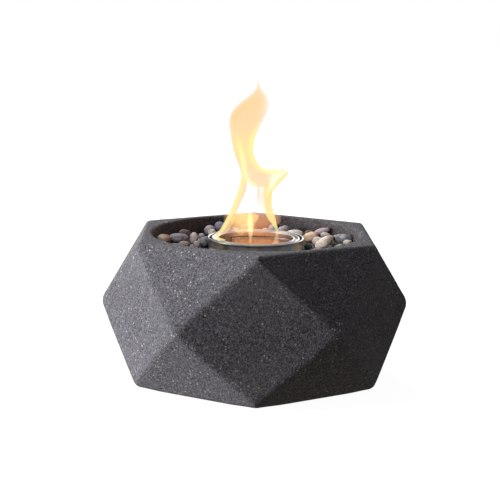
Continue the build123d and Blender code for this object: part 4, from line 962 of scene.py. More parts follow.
for number, (node, rows) in enumerate(PEBBLES.items()):
    slot = {s["node"]: s["material_slot"] for s in frame["record"]["subparts"]}[node]
    if node in HERO_STONES:
        stone = river_stone(node + "_stone", **HERO_STONES[node])
        piece = build_pebbles("stone_" + node[7:], rows, 5, 100 + number)
    else:
        kind = node.rsplit("_", 1)[1]
        if kind not in group_material:
            group_material[kind] = river_stone("stones_" + kind, **GROUP_STONES[kind])
        stone = group_material[kind]
        piece = build_pebbles("stones_" + node[8:], rows, 4, 300 + number)
    stands_for(finish_with(piece, stone), "bowl", slot, node)
    STONES.append(piece.name)


# ---------------------------------------------------------------- burner cup
def spun_steel(name, tint=(0.62, 0.605, 0.585), rough=(0.27, 0.33), lines=0.5, stain=0.25):
    """Steel turned or drawn round an axis: fine lines round it, slight heat tint and smudges."""
    g = Graph(name)
    mm = g.mm()
    x, y, z = g.separate(mm)
    radius = g.math("SQRT", g.math("ADD", g.math("MULTIPLY", x, x), g.math("MULTIPLY", y, y)))
    ang = g.math("ARCTAN2", y, x)
    ringed = g.node("ShaderNodeCombineXYZ", {0: g.math("MULTIPLY", radius, 1.3), 1: g.math("MULTIPLY", ang, 1.2), 2: g.math("MULTIPLY", z, 1.3)}).outputs[0]
    turned = g.noise(1.0, 3, 0.6, 0.0, ringed)
    smudge = g.noise(9, 3, 0.6)
    small = g.noise(1.6, 3, 0.6)
    colour = g.mix(g.ramp(smudge, 0.42, 0.68, 0.0, stain), tint, (0.40, 0.345, 0.27))
    colour = g.mix(g.ramp(small, 0.55, 0.72, 0.0, 0.10), colour, (0.34, 0.32, 0.31))
    r = g.math("ADD", g.ramp(turned, 0.3, 0.7, rough[0], rough[1]), g.ramp(smudge, 0.45, 0.7, 0.0, 0.06))
    return g.surface(Base_Color=colour, Metallic=1.0, Roughness=r, Normal=g.bump(turned, 0.02 * lines, 0.03))


burner_profile = (
    [(0, 39.4), (34.0, 39.4)] + arc(36.0, 39.25, 0.15, 90, 0, 2)[:-1] + [(36.3, 39.1)]
    + between((37.0, 39.1), (43.8, 39.1), 3) + arc(43.8, 41.5, 2.4, -90, 0, 8)
    + between((46.2, 42.3), (46.2, 134.5), 22) + [(46.2, 134.8)]
    + arc(46.3, 135.9, 0.9, -80, 180, 36)
    + between((45.4, 135.3), (45.4, 42.1), 22) + arc(43.8, 41.5, 1.6, 0, -90, 6)
    + between((43.0, 39.9), (6.0, 39.9), 6) + [(0, 39.9)]
)
burner = lathe("burner_cup_steel", burner_profile, 288)
finish_with(burner, spun_steel("polished_steel"))
stands_for(burner, "burner", "burner_steel", "burner_cup")


# ---------------------------------------------------------------- fuel can
SEAM_AZ = math.radians(215)


def with_weld(r, z, a):
    """The lapped side weld: a narrow raised strip down the wall."""
    d = abs((a - SEAM_AZ + math.pi) % (2 * math.pi) - math.pi) * r
    lift = 0.16 * float(1 - smooth(d, 0.5, 0.9))
    return (r + lift if r > 42.0 else r, z)


can_wall = lathe(
    "can_wall_steel",
    [(42.2, z) for z, _ in between((43.1, 0), (133.4, 0), 18)] + [(42.2, 133.4)]
    + [(41.8, z) for z, _ in between((133.4, 0), (43.1, 0), 18)] + [(41.8, 43.1)],
    480,
    with_weld,
)


def tinplate(name, welded):
    g = Graph(name)
    mm = g.mm()
    x, y, z = g.separate(mm)
    ang = g.math("ARCTAN2", x, g.math("MULTIPLY", y, -1.0))
    rolled = g.node("ShaderNodeCombineXYZ", {0: g.math("MULTIPLY", ang, 130.0), 1: g.math("MULTIPLY", z, 0.05), 2: 0.0}).outputs[0]
    lines = g.noise(1.0, 3, 0.6, 0.0, rolled)
    spangle = g.cells(2.6)
    crystal = g.separate(spangle.outputs["Color"])[0]
    smudge = g.noise(12, 3, 0.6)
    colour = g.mix(crystal, (0.560, 0.555, 0.545), (0.640, 0.635, 0.625))
    colour = g.mix(g.ramp(smudge, 0.45, 0.7, 0.0, 0.35), colour, (0.42, 0.39, 0.35))
    if welded:
        off = g.math("ABSOLUTE", g.math("SUBTRACT", ang, SEAM_AZ - 2 * math.pi))
        strip = g.ramp(off, 0.012, 0.05, 1.0, 0.0)
        colour = g.mix(g.math("MULTIPLY", strip, 0.6), colour, (0.16, 0.14, 0.13))
    r = g.math("ADD", g.ramp(lines, 0.3, 0.7, 0.17, 0.29), g.ramp(smudge, 0.4, 0.7, 0.0, 0.12))
    return g.surface(Base_Color=colour, Metallic=1.0, Roughness=r, Normal=g.bump(lines, 0.08, 0.04))


finish_with(can_wall, tinplate("tinplate_wall", True))
stands_for(can_wall, "fuel_can", "can_steel", "can_body")

can_foot = lathe(
    "can_end_steel",
    [(0, 42.95), (38.4, 42.95), (39.4, 43.0), (40.3, 43.05), (41.5, 43.1), (43.0, 43.1)] + arc(42.95, 42.85, 0.25, 90, 0, 3)
    + [(43.2, 40.8)] + arc(42.5, 40.6, 0.7, 0, -180, 12) + [(41.6, 41.1), (40.9, 41.9)] + arc(40.1, 41.8, 0.6, 20, 90, 4)
    + between((39.0, 42.4), (27.0, 42.4), 4) + arc(26.2, 42.35, 0.5, -20, -160, 6) + between((25.4, 42.4), (4.0, 42.4), 4) + [(0, 42.4)],
    240,
)
finish_with(can_foot, spun_steel("tinplate_end", (0.58, 0.575, 0.565), (0.16, 0.30), 0.5, 0.3))
stands_for(can_foot, "fuel_can", "can_steel", "can_base")

TOP = 136.6
ring_profile = (
    arc(42.3, TOP - 0.9, 0.9, 0, 180, 14) + [(41.35, TOP - 1.9)] + arc(40.9, TOP - 2.0, 0.35, -10, -80, 3)
    + between((40.3, TOP - 2.42), (39.3, TOP - 2.5), 2) + arc(39.2, TOP - 2.2, 0.3, -100, -170, 3) + [(38.55, TOP - 1.4)]
    + arc(37.6, TOP - 1.1, 0.8, 5, 180, 14) + between((36.8, TOP - 1.6), (36.8, TOP - 5.0), 4)
    + arc(37.05, TOP - 5.0, 0.22, 180, 360, 6) + [(37.5, TOP - 3.3), (38.2, TOP - 3.05), (41.3, TOP - 2.9), (41.5, TOP - 3.2), (43.0, TOP - 3.2), (43.2, TOP - 3.0)]
)
can_ring = lathe("can_mouth_steel", ring_profile, 288)
finish_with(can_ring, spun_steel("tinplate_ring", (0.70, 0.69, 0.68), (0.27, 0.33), 0.5, 0.10))
stands_for(can_ring, "fuel_can", "can_steel", "can_top_ring")


# ---------------------------------------------------------------- gel fuel
def gel_top(r, z, a):
    if z > 119.9:
        p = Vector((r * math.sin(a), -r * math.cos(a), 0)) * 0.045
        z = 120.45 + 0.40 * noise.noise(p) + 0.12 * noise.noise(p * 3.1) + 0.22 * float(smooth(r, 38, 41.5)) - (0.25 if r > 41.2 else 0.0)
        z = min(z, 120.9)
    return r, z


gel_body = lathe(
    "gel_surface",
    [(0, 43.1), (39.5, 43.1), (41.2, 43.5), (41.75, 44.1), (41.75, 82.0), (41.75, 120.1)]
    + [(r, 120.5) for r, _ in between((41.4, 0), (1.2, 0), 34)] + [(0, 120.5)],
    160,
    gel_top,
)


def fuel_gel():
    g = Graph("fuel_gel")
    cloud = g.noise(7, 3, 0.55)
    curds = g.noise(2.2, 3, 0.6, 0.4)
    colour = g.mix(g.ramp(cloud, 0.35, 0.68), (0.50, 0.235, 0.110), (0.68, 0.385, 0.190))
    colour = g.mix(g.ramp(curds, 0.56, 0.7, 0.0, 0.5), colour, (0.78, 0.60, 0.40))
    v = g.cells(3.4)
    bubble = g.math("MULTIPLY", g.math("GREATER_THAN", g.separate(v.outputs["Color"])[0], 0.8), g.ramp(v.outputs["Distance"], 0.1, 0.28, 1.0, 0.0))
    height = g.math("SUBTRACT", curds, g.math("MULTIPLY", bubble, 0.5))
    return g.surface(Base_Color=colour, Roughness=g.ramp(curds, 0.3, 0.7, 0.22, 0.38), Normal=g.bump(height, 0.5, 0.5),
                     IOR=1.38, Specular_IOR_Level=0.22, Subsurface_Weight=0.25, Subsurface_Radius=(0.006, 0.003, 0.0015), Subsurface_Scale=1.0)


finish_with(gel_body, fuel_gel())
stands_for(gel_body, "fuel_can", "gel", "gel_fuel")


# ---------------------------------------------------------------- flame: gas, not a piece of the object, so it is staged, but it goes with the can
def full_round(v, power=0.6):
    """Below 1 the section is fuller than an ellipse and the gas about as thick at its edge as in its middle; above 1 it thins out towards the edge."""
    return math.copysign(abs(v) ** power, v)


def flame_body(name, stations, around=40):
    """A closed skin round a flame. stations: (z, centre x, centre y, half width, half depth, turn in degrees, fullness) in millimetres, from bottom to top."""
    st = np.array([(*row, 0.6)[:7] for row in stations], float)
    t = np.arange(len(st))
    fine = np.linspace(0, len(st) - 1, (len(st) - 1) * 7 + 1)
    cols = []
    for k in range(7):  # a smooth curve through the stations
        y = st[:, k]
        m = np.gradient(y)
        i = np.minimum(fine.astype(int), len(st) - 2)
        u = fine - i
        h00, h10, h01, h11 = 2 * u**3 - 3 * u**2 + 1, u**3 - 2 * u**2 + u, -2 * u**3 + 3 * u**2, u**3 - u**2
        cols.append(h00 * y[i] + h10 * m[i] + h01 * y[i + 1] + h11 * m[i + 1])
    z, cx, cy, w, d, turn, full = cols
    w, d = np.maximum(w, 0.05), np.maximum(d, 0.05)
    verts, faces = [], []
    for k in range(len(fine)):
        a0 = math.radians(turn[k])
        for i in range(around):
            a = 2 * math.pi * i / around
            x, y = w[k] * full_round(math.cos(a), full[k]), d[k] * full_round(math.sin(a), full[k])
            verts.append((cx[k] + x * math.cos(a0) - y * math.sin(a0), cy[k] + x * math.sin(a0) + y * math.cos(a0), z[k]))
    for k in range(len(fine) - 1):
        for i in range(around):
            j = (i + 1) % around
            faces.append((k * around + i, k * around + j, (k + 1) * around + j, (k + 1) * around + i))
    for k, order in ((0, -1), (len(fine) - 1, 1)):
        faces.append(tuple(k * around + i for i in range(around))[::order])
    return outward(mesh_object(name, verts, faces))


def flame_strand(name, path, around=24, power=1.0):
    """A closed skin round a strand. path: (x, y, z, half width across it, half depth) in millimetres, from end to end."""
    p = np.array(path, float)
    fine = np.linspace(0, len(p) - 1, (len(p) - 1) * 6 + 1)
    i = np.minimum(fine.astype(int), len(p) - 2)
    u = (fine - i)[:, None]
    m = np.gradient(p, axis=0)
    c = (2 * u**3 - 3 * u**2 + 1) * p[i] + (u**3 - 2 * u**2 + u) * m[i] + (-2 * u**3 + 3 * u**2) * p[i + 1] + (u**3 - u**2) * m[i + 1]
    run = np.gradient(c[:, [0, 2]], axis=0)
    run /= np.maximum(np.linalg.norm(run, axis=1), 1e-9)[:, None]
    verts, faces = [], []
    for k in range(len(c)):
        w, d = max(c[k, 3], 0.05), max(c[k, 4], 0.05)
        for j in range(around):
            a = 2 * math.pi * j / around
            s, q = w * full_round(math.cos(a), power), d * full_round(math.sin(a), power)
            verts.append((c[k, 0] + s * run[k, 1], c[k, 1] + q, c[k, 2] - s * run[k, 0]))
    for k in range(len(c) - 1):
        for j in range(around):
            n = (j + 1) % around
            faces.append((k * around + j, k * around + n, (k + 1) * around + n, (k + 1) * around + j))
    for k, order in ((0, -1), (len(c) - 1, 1)):
        faces.append(tuple(k * around + j for j in range(around))[::order])
    return outward(mesh_object(name, verts, faces))


def burning(name, colour, strength, soot, tint=(0.0, 0.0, 0.0)):
    """Gas that glows and takes a little of the light behind it. strength is its brightness where it is thick, soot is per metre."""
    mat = bpy.data.materials.new(name)
    mat.use_nodes = True
    t = mat.node_tree
    t.nodes.clear()
    out = t.nodes.new("ShaderNodeOutputMaterial")
    add = t.nodes.new("ShaderNodeAddShader")
    glow = t.nodes.new("ShaderNodeEmission")
    take = t.nodes.new("ShaderNodeVolumeAbsorption")
    glow.inputs["Color"].default_value = (*colour, 1)
    glow.inputs["Strength"].default_value = strength * soot
    take.inputs["Color"].default_value = (*tint, 1)
    take.inputs["Density"].default_value = soot
    t.links.new(glow.outputs[0], add.inputs[0])
    t.links.new(take.outputs[0], add.inputs[1])
    t.links.new(add.outputs[0], out.inputs["Volume"])
    return mat


def burn(obj, material):
    finish_with(obj, material)
    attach(obj, "fuel_can")
    obj.visible_shadow = False
    obj.visible_diffuse = False
    return obj


# z, x, y, half width, half depth, turn, fullness where it isn't 0.6
BODY = [
    (186.0, 5.2, 0, 6.4, 3.2, 0), (188.1, 4.6, 0, 8.6, 6, 0), (190.5, 2.6, 0, 10.2, 6.6, 0), (193, 0.6, 0, 11.2, 6.8, 0), (195.4, -0.2, 0, 12.8, 6.8, 0),
    (197.9, 0.2, 0, 14.8, 7, 0), (199.8, -1.6, 0, 13.9, 8, 0), (202.9, -5, 0, 11.4, 9.6, 0), (206.6, -7.5, 0, 10.1, 10.6, 0), (210.3, -9.4, 0, 9.6, 10.4, 0),
    (215.2, -11.5, 0, 9.4, 11, 0), (220.2, -13.1, 0, 9.5, 11, 0), (225.1, -13.7, 0, 10, 11, 0), (230, -14.0, 0, 10.8, 11, 0),
    (234.9, -13.8, 0, 11.7, 11, 0), (239.9, -13.2, 0, 13.0, 11, 0), (243.5, -12.7, 0, 14.2, 10.8, 0), (247.2, -12.0, 0, 15.3, 10.6, 0, 0.62),
    (249.7, -11.3, 0, 16.0, 10.6, 0, 0.65), (253.3, -10.2, 0, 16.7, 10.8, 0, 0.75), (255.8, -9.1, 0, 17.1, 11, 0, 0.9), (259.5, -7.4, 0, 17.2, 11.6, 0, 1.1),
    (263.2, -5.2, 0, 16.4, 12, 0, 1.3), (265.7, -3.8, 0, 15.3, 12, 0, 1.4), (269.4, -1.7, 0, 13.0, 11.8, 0, 1.45), (273.1, 0.0, 0, 9.8, 11.2, 0, 1.45),
    (275.6, 0.6, 0, 7.3, 10.4, 0, 1.4), (277.5, 0.6, 0, 5.7, 9.4, 0, 1.35), (279.9, 0.6, 0, 3.8, 7.8, 0, 1.3), (282.4, 0.6, 0, 2.3, 6, 0, 1.2), (284.6, 0.4, 0, 1.4, 4.6, 0, 1.1),
    (287, 0.4, 0, 0.9, 3.6, 0, 1), (291.5, 0.4, 0, 0.2, 1, 0, 1),
]
YELLOW = [
    (202, -11.4, -12, 1.2, 0.4, 0, 1), (208, -11.0, -12, 4.2, 1.6, 0, 1), (214, -11.5, -12, 6.4, 2.6, 0, 1),
    (220, -12.8, -12, 8.0, 3.4, 0, 1), (226, -13.7, -12, 9.4, 3.6, 0, 1), (232, -14.0, -12, 10.4, 2.8, 0, 1), (238, -13.8, -12, 10.8, 1.5, 0, 1),
    (244, -13.2, -12, 9.0, 0.5, 0, 1), (248, -12.4, -12, 5, 0.1, 0, 1),
]
LOBE = [
    (161.3, 9.2, -1, 6.3, 1.4, 0, 0.8), (164.4, 8.2, -1, 7.1, 3.4, 0, 0.8), (168.2, 7.7, -1, 7, 4.2, 0, 0.8), (173.2, 7.3, -1, 7, 4.8, 0, 0.8),
    (178.2, 7.4, -1, 7.2, 4.8, 0, 0.8), (181.4, 7.4, -1, 8.1, 4.2, 0, 0.8), (184.5, 6.6, -1, 10.5, 3.3, 0, 0.8), (187, 6.2, -1, 13.3, 3.0, 0, 0.8),
    (189.5, 6.6, -1, 15.9, 2.9, 0, 0.8), (192, 7.4, -1, 17.6, 2.8, 0, 0.8), (194.5, 8.9, -1, 18.9, 2.8, 0, 0.8), (196.8, 9.8, -1, 18.8, 3, 0, 0.8),
    (198.9, 11.9, -1, 17.4, 3.3, 0, 0.8), (200.8, 15.6, -1, 13.7, 3.5, 0, 0.8), (202.4, 21.6, -1, 7.0, 3.4, 0, 0.8), (203.7, 24.8, -1, 2.9, 3, 0, 0.8),
    (204.7, 25, -1, 1, 2, 0, 0.8), (205.7, 24.7, -1, 0.2, 0.5, 0, 0.8),
]
burn(flame_body("flame_body", BODY), burning("flame_peach", (1.0, 0.60, 0.235), 1.07, 75))
burn(flame_body("flame_yellow", YELLOW), burning("flame_yellow_gas", (1.0, 0.97, 0.30), 1.05, 46))
burn(flame_body("flame_lobe", LOBE), burning("flame_lobe_gas", (1.0, 0.50, 0.20), 1.0, 58))
# x, y, z, half width, half depth; then colour, brightness and soot
STRANDS = {
    "flame_right_foot": ([
        (8.3, -2, 189.6, 1.2, 0.6), (10.1, -2, 186.7, 2.8, 2.4), (11.4, -2, 182.6, 3.6, 3.4), (11.8, -2, 177.6, 3.8, 4), (11.8, -2, 172.2, 3.9, 4),
        (12.1, -2, 167.2, 3.9, 4), (13.1, -2, 162.2, 4.4, 4), (14.6, -2, 157.8, 4.1, 4), (16.3, -2, 154.1, 3.3, 3.8), (18.2, -2, 150.3, 2.2, 3.2),
        (19.8, -2, 146.5, 1.4, 2.4), (20.9, -2, 142.8, 0.9, 1.5), (21.4, -2, 138.4, 0.25, 0.3),
    ], (1.0, 0.82, 0.335), 1.03, 330),
    "flame_left_foot": ([
        (-14.6, -3, 206.5, 0.4, 0.4), (-13.9, -3, 200.8, 1.5, 1.8), (-13.45, -3, 195.8, 2.1, 2.8), (-13.85, -3, 190.8, 2.3, 3.3),
        (-14.93, -3, 185.8, 2.3, 3.4), (-16.55, -3, 180.8, 2.3, 3.4), (-18.35, -3, 175.8, 2.3, 3.4), (-19.78, -3, 172, 2.3, 3.4),
        (-21.56, -3, 167, 2.3, 3.4), (-23.59, -3, 161.9, 2.3, 3.4), (-25.85, -3, 156.9, 2.3, 3.4), (-28.06, -3, 152.4, 2.2, 3.3),
        (-30.2, -3, 148.6, 2.2, 3.1), (-32.0, -3, 145.5, 2.1, 3), (-34.0, -5, 143, 1.9, 2.8), (-36.5, -8, 141.2, 1.8, 2.7),
        (-37.8, -11, 139.5, 1.75, 2.6), (-37.5, -13, 137.8, 1.7, 2.5), (-35.5, -14, 136.6, 1.6, 2.3), (-32.6, -14, 136, 1.3, 2),
        (-29.4, -14, 135.8, 0.62, 1),
    ], (1.0, 0.86, 0.38), 1.03, 390),
    "flame_left_foot_peach": ([
        (-11.4, 1, 203.5, 0.6, 0.5), (-11.48, 1, 198, 2.2, 2.2), (-11.22, 1, 192, 2.8, 3.0), (-11.94, 1, 186, 2.9, 3.2), (-13.6, 1, 180, 2.8, 3.2),
        (-15.86, 1, 174, 2.7, 3.2), (-18.14, 1, 168, 2.7, 3.2), (-20.58, 1, 162, 2.8, 3.2), (-23.12, 1, 156, 3.0, 3.4), (-25.9, 1, 150, 3.4, 3.6),
        (-28.8, 1, 145, 3.4, 3.4), (-31.5, 1, 141.5, 2.2, 2.4), (-33.6, 1, 139, 0.6, 0.8),
    ], (1.0, 0.62, 0.28), 1.05, 220),
    "flame_right_edge": ([
        (3.6, -9, 253, 0.4, 0.3), (1.2, -9, 248.4, 1.6, 0.8), (-1.0, -9, 244.1, 2.5, 1.3), (-3.0, -9, 239.8, 3.0, 1.8), (-4.9, -9, 234.8, 3.2, 2.2),
        (-5.8, -9, 229.9, 3.2, 2.4), (-6.2, -9, 223.8, 3.2, 2.4), (-5.4, -9, 218.3, 3.1, 2.4), (-3.8, -9, 213.2, 3.0, 2.4),
        (-1.5, -9, 209.0, 2.9, 2.4), (1.9, -9, 205.6, 2.8, 2.4), (6.6, -9, 203.3, 3.0, 2.6), (12, -9, 202.4, 3.0, 2.6), (17.4, -9, 202.6, 2.9, 2.2),
        (21.6, -9, 203.4, 2.1, 1.5), (25, -9, 204.8, 1.2, 0.9), (27, -9, 205.4, 0.3, 0.3),
    ], (1.0, 0.92, 0.36), 1.06, 250),
    "flame_left_ribbon": ([
        (-20.6, -9, 240, 0.5, 0.1), (-19.7, -9, 235.9, 1.6, 0.4), (-18.2, -9, 230.4, 2.1, 1.0), (-16.5, -9, 224.9, 2.4, 1.8),
        (-14.9, -9, 219.4, 2.7, 2.5), (-13.6, -9, 213.9, 2.8, 2.7), (-12.5, -9, 208.3, 2.7, 2.7), (-11.8, -9, 203.4, 2.5, 2.6),
        (-11.0, -9, 198.5, 2.3, 2.4), (-9.0, -9, 194.6, 2.4, 2.1), (-5.4, -9, 191.4, 2.1, 1.9), (-1.6, -9, 189.0, 1.6, 1.5),
        (1.2, -9, 187.4, 0.4, 0.5),
    ], (1.0, 0.97, 0.48), 1.08, 300),
    "flame_horn_light": ([
        (28.6, -8, 205.0, 1.0, 0.6), (26.4, -8, 203.4, 2.9, 2.0), (22.4, -8, 199.9, 3.6, 2.3), (17.6, -8, 194.8, 3.4, 2.1), (14.4, -8, 190.6, 3.2, 2.0),
        (12.2, -8, 186.4, 2.6, 1.8), (10.8, -8, 181.5, 1.8, 1.4), (10.0, -8, 177, 0.6, 0.6),
    ], (1.0, 0.95, 0.56), 1.07, 230),
    "flame_horn": ([
        (30.9, -10, 204.8, 0.5, 0.5), (29.5, -10, 202.0, 1.7, 1.9), (26.9, -10, 198.6, 2.2, 2.4), (23.5, -10, 195.0, 2.2, 2.4), (19.9, -10, 191.0, 2.1, 2.3),
        (16.7, -10, 186.8, 1.9, 2.2), (14.3, -10, 182.4, 1.7, 2.0), (12.7, -10, 177.6, 1.3, 1.7), (12.1, -10, 173, 0.5, 0.7),
    ], (1.0, 0.80, 0.30), 1.04, 340),
    "flame_horn_left": ([
        (17.0, -10, 199.4, 0.4, 0.4), (13.6, -10, 196.2, 1.4, 1.3), (11.0, -10, 192.0, 1.8, 1.7), (9.0, -10, 187.6, 2.0, 1.9), (8.0, -10, 183, 1.9, 1.8),
        (7.7, -10, 178, 1.4, 1.4), (7.9, -10, 173, 0.4, 0.5),
    ], (1.0, 0.78, 0.30), 1.04, 290),
    "flame_left_edge": ([
        (-25.4, -8, 252, 0.3, 0.2), (-25.3, -8, 246.7, 1.2, 0.7), (-24.4, -8, 240.6, 1.7, 1.1), (-23.0, -8, 233.3, 1.9, 1.4), (-21.2, -8, 225.9, 1.9, 1.5),
        (-19.5, -8, 218.6, 1.8, 1.5), (-18.0, -8, 212.5, 1.3, 1.1), (-17.2, -8, 207.8, 0.4, 0.4),
    ], (1.0, 0.80, 0.29), 1.04, 150),
    "flame_left_rise": ([
        (0.2, -7, 282, 0.4, 0.3), (-3.2, -7, 276.3, 2.4, 1.4), (-8.3, -7, 271.2, 3.4, 2.2), (-13.6, -7, 266.2, 3.9, 2.9),
        (-18.2, -7, 261.4, 4.1, 3.3), (-21.6, -7, 256.2, 4.0, 3.3), (-23.0, -7, 250.8, 3.4, 2.6), (-23.4, -7, 245, 1.6, 1.0), (-23.4, -7, 241, 0.3, 0.2),
    ], (1.0, 0.63, 0.27), 1.06, 130),
    "flame_streak": ([
        (2.2, -2, 187.1, 1.2, 0.8), (2, -2, 183.4, 1.7, 1.6), (1.9, -2, 178.4, 1.5, 1.7), (1.6, -2, 174.4, 1.2, 1.5), (1.4, -2, 171, 0.9, 1.1),
        (1.2, -2, 167.4, 0.3, 0.4),
    ], (1.0, 0.48, 0.20), 0.98, 120),
    "flame_left_streak": ([
        (-9.5, -2, 190, 0.8, 0.5), (-10.6, -2, 185, 1.5, 1.4), (-12.0, -2, 179, 1.5, 1.5), (-13.4, -2, 173, 1.2, 1.2), (-14.6, -2, 167, 0.3, 0.4),
    ], (1.0, 0.52, 0.26), 0.99, 80),
}
for name, (path_mm, colour, bright, soot) in STRANDS.items():
    burn(flame_strand(name, path_mm), burning(name + "_gas", colour, bright, soot))
# thin hot gas over the can's mouth, which hardly hides what is behind it
burn(flame_body("flame_haze", [
    (136.4, -6, 26, 16, 3, 0, 0.9), (138.5, -7, 26, 21.5, 8, 0, 0.9), (142, -6.5, 25, 24, 13, 0, 0.9), (147, -3.6, 23, 28, 15, 0, 0.9),
    (152, -3.1, 22, 28.6, 15, 0, 0.9), (156, -3.2, 22, 27.6, 14, 0, 0.9), (159, -3.2, 22, 25, 10, 0, 0.9), (161, -3.2, 22, 20, 2, 0, 0.9)], 56),
    burning("flame_haze_gas", (1.0, 0.42, 0.19), 17.5, 1.1))
burn(flame_body("flame_pool", [
    (121.4, 2, -3, 24, 20, 0, 1), (124.5, 2, -3, 31, 28, 0, 1), (128, 2, -3, 31, 28, 0, 1), (131.5, 2, -3, 26, 22, 0, 1), (133.4, 2, -3, 14, 10, 0, 1)], 56),
    burning("flame_pool_gas", (1.0, 0.37, 0.14), 9.5, 0.9))
burn(flame_body("flame_glow", [
    (136, -14.2, 8, 1, 1, 0, 1), (139, -14.6, 8, 4.2, 4, 0, 1), (143, -12.4, 6, 10.8, 8.5, 0, 1), (149, -12.6, 4, 12.0, 10.5, 0, 1), (154, -11.4, 2, 13.8, 15, 0, 0.9), (158, -11.0, 2, 13.4, 15, 0, 0.9), (161, -11.4, 2, 7, 4, 0, 1)], 40),
    burning("flame_glow_gas", (1.0, 0.84, 0.30), 4.1, 5.6))
burn(flame_body("flame_tongue", [
    (127, -5.6, -2, 0.6, 0.8, 0, 1), (133, -5.2, -2, 1.5, 1.5, 0, 1.3), (140, -5.0, -2, 2.5, 3.2, 0, 1.4), (147, -5.3, -2, 3.4, 4.2, 0, 1.5), (153, -5.6, -2, 3.2, 4.0, 0, 1.5), (158, -5.8, -2, 2.4, 3.0, 0, 1.5), (163, -6.0, -2, 0.6, 0.8, 0, 1.3)], 28),
    burning("flame_tongue_gas", (1.0, 0.92, 0.46), 5.2, 15))
burn(flame_body("flame_far_foot", [
    (122.5, 19.0, 4, 0.8, 0.8, 0, 1), (126, 19.5, 4, 3.6, 3.4, 0, 1), (129.5, 20, 4, 3.8, 3.4, 0, 1), (134, 20.4, 4, 2.0, 2.2, 0, 1), (139, 21.0, 2, 1.5, 1.6, 0, 1), (143, 21.2, 1, 0.3, 0.5, 0, 1)], 24),
    burning("flame_far_foot_gas", (1.0, 0.62, 0.34), 3.4, 20))


# ---------------------------------------------------------------- light
def area(name, at_m, toward, power, size, colour, size_y=None):
    data = bpy.data.lights.new(name, "AREA")
    data.energy, data.color, data.size = power, colour, size
    if size_y:
        data.shape, data.size_y = "RECTANGLE", size_y
    lamp = link(bpy.data.objects.new(name, data))
    lamp.location = at_m
    lamp.rotation_mode = "QUATERNION"
    lamp.rotation_quaternion = (Vector(toward) - Vector(at_m)).to_track_quat("-Z", "Y")
    lamp.visible_camera = False
    return lamp


key_lamp = area("key_left", (-1.931, -0.375, 0.33), (0, 0, 0.07), 64, 0.70, (0.97, 0.98, 1.0), 0.60)
back_lamp = area("back_top", (-0.40, 1.30, 1.56), (0, 0, 0.12), 30, 0.9, (1.0, 0.99, 0.98))
card_lamp = area("stone_card", (-0.62, -0.95, 0.95), (0, 0, 0.13), 13, 0.5, (1.0, 0.99, 0.985))  # lights the stones alone
side_lamp = area("metal_side", (-1.70, -0.33, 0.62), (0, 0, 0.13), 11.0, 1.3, (0.98, 0.99, 1.0), 0.9)  # the wide, dimmer cards the metal mirrors
above_lamp = area("metal_above", (-0.20, 1.30, 1.30), (0, 0, 0.13), 2.2, 1.2, (1.0, 0.99, 0.98), 0.8)
behind_lamp = area("metal_behind", (0.50, 1.50, 0.50), (0, 0, 0.13), 8.5, 1.4, (1.0, 0.99, 0.98), 0.75)
glow = bpy.data.lights.new("flame_light", "POINT")
glow.energy, glow.color, glow.shadow_soft_size = 0.046, (1.0, 0.50, 0.20), 0.014
glow_lamp = link(bpy.data.objects.new("flame_light", glow))
glow_lamp.location = (-0.004, -0.004, 0.152)
glow_lamp.visible_glossy = False
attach(glow_lamp, "fuel_can")

world = bpy.data.worlds.new("studio")
scene.world = world
world.use_nodes = True
wt = world.node_tree
wt.nodes.clear()
w_out = wt.nodes.new("ShaderNodeOutputWorld")
soft = wt.nodes.new("ShaderNodeBackground")
white = wt.nodes.new("ShaderNodeBackground")
pick = wt.nodes.new("ShaderNodeMixShader")
path = wt.nodes.new("ShaderNodeLightPath")
coord = wt.nodes.new("ShaderNodeTexCoord")
split = wt.nodes.new("ShaderNodeSeparateXYZ")
shade = wt.nodes.new("ShaderNodeValToRGB")
move = wt.nodes.new("ShaderNodeMapRange")
move.inputs["From Min"].default_value, move.inputs["From Max"].default_value = -1.0, 1.0
wt.links.new(coord.outputs["Generated"], split.inputs[0])
wt.links.new(split.outputs["Z"], move.inputs["Value"])
wt.links.new(move.outputs[0], shade.inputs[0])
shade.color_ramp.elements[0].position, shade.color_ramp.elements[0].color = 0.25, (0.142, 0.119, 0.099, 1)
shade.color_ramp.elements[1].position, shade.color_ramp.elements[1].color = 0.75, (0.175, 0.176, 0.190, 1)
wt.links.new(shade.outputs[0], soft.inputs[0])
soft.inputs[1].default_value = 1.0
white.inputs[0].default_value = (1, 1, 1, 1)
white.inputs[1].default_value = 1.0
wt.links.new(path.outputs["Is Camera Ray"], pick.inputs[0])
wt.links.new(soft.outputs[0], pick.inputs[1])
wt.links.new(white.outputs[0], pick.inputs[2])
wt.links.new(pick.outputs[0], w_out.inputs[0])

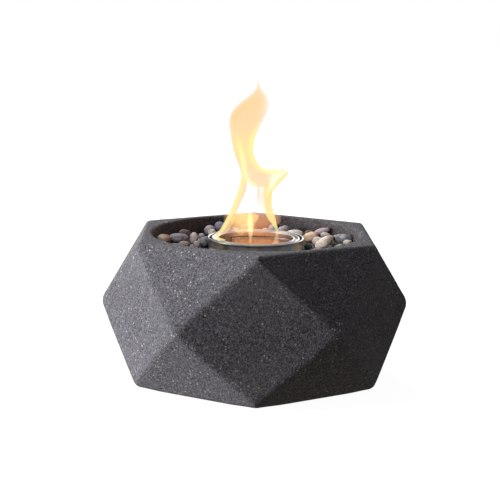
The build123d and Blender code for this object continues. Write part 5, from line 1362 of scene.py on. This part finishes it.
# ---------------------------------------------------------------- floor
floor_mesh = bpy.data.meshes.new("floor")
floor_mesh.from_pydata([(-12, -12, -0.0002), (12, -12, -0.0002), (12, 12, -0.0002), (-12, 12, -0.0002)], [], [(0, 1, 2, 3)])
floor = link(bpy.data.objects.new("floor", floor_mesh))
fm = bpy.data.materials.new("pale_floor")
fm.use_nodes = True
ft = fm.node_tree
ft.nodes.clear()
f_out = ft.nodes.new("ShaderNodeOutputMaterial")
f_add = ft.nodes.new("ShaderNodeAddShader")
f_dif = ft.nodes.new("ShaderNodeBsdfDiffuse")
f_emi = ft.nodes.new("ShaderNodeEmission")
f_dif.inputs[0].default_value = (0.20, 0.20, 0.20, 1)
f_emi.inputs[0].default_value = (1, 1, 1, 1)
f_pos = ft.nodes.new("ShaderNodeTexCoord")
f_len = ft.nodes.new("ShaderNodeVectorMath")
f_len.operation = "LENGTH"
f_far = ft.nodes.new("ShaderNodeMapRange")
f_far.interpolation_type = "SMOOTHSTEP"
for key, value in (("From Min", 0.15), ("From Max", 0.60), ("To Min", 0.96), ("To Max", 1.02)):
    f_far.inputs[key].default_value = value
ft.links.new(f_pos.outputs["Object"], f_len.inputs[0])
ft.links.new(f_len.outputs["Value"], f_far.inputs["Value"])
ft.links.new(f_far.outputs["Result"], f_emi.inputs[1])
ft.links.new(f_dif.outputs[0], f_add.inputs[0])
ft.links.new(f_emi.outputs[0], f_add.inputs[1])
ft.links.new(f_add.outputs[0], f_out.inputs[0])
floor_mesh.materials.append(fm)
floor.visible_diffuse = False
floor.visible_glossy = False
floor.visible_shadow = False

METALS = ["burner_cup_steel", "can_wall_steel", "can_end_steel", "can_mouth_steel"]
groups = {"stones": STONES, "metals": METALS, "matte": STONES + ["bowl_casting", "foot_pad_set", "gel_surface", "floor"]}
for name, members in groups.items():
    groups[name] = bpy.data.collections.new("lit_" + name)
    for member in members:
        groups[name].objects.link(bpy.data.objects[member])
for lamp, name in ((key_lamp, "matte"), (back_lamp, "matte"), (card_lamp, "stones"), (side_lamp, "metals"), (above_lamp, "metals"), (behind_lamp, "metals")):
    lamp.light_linking.receiver_collection = groups[name]
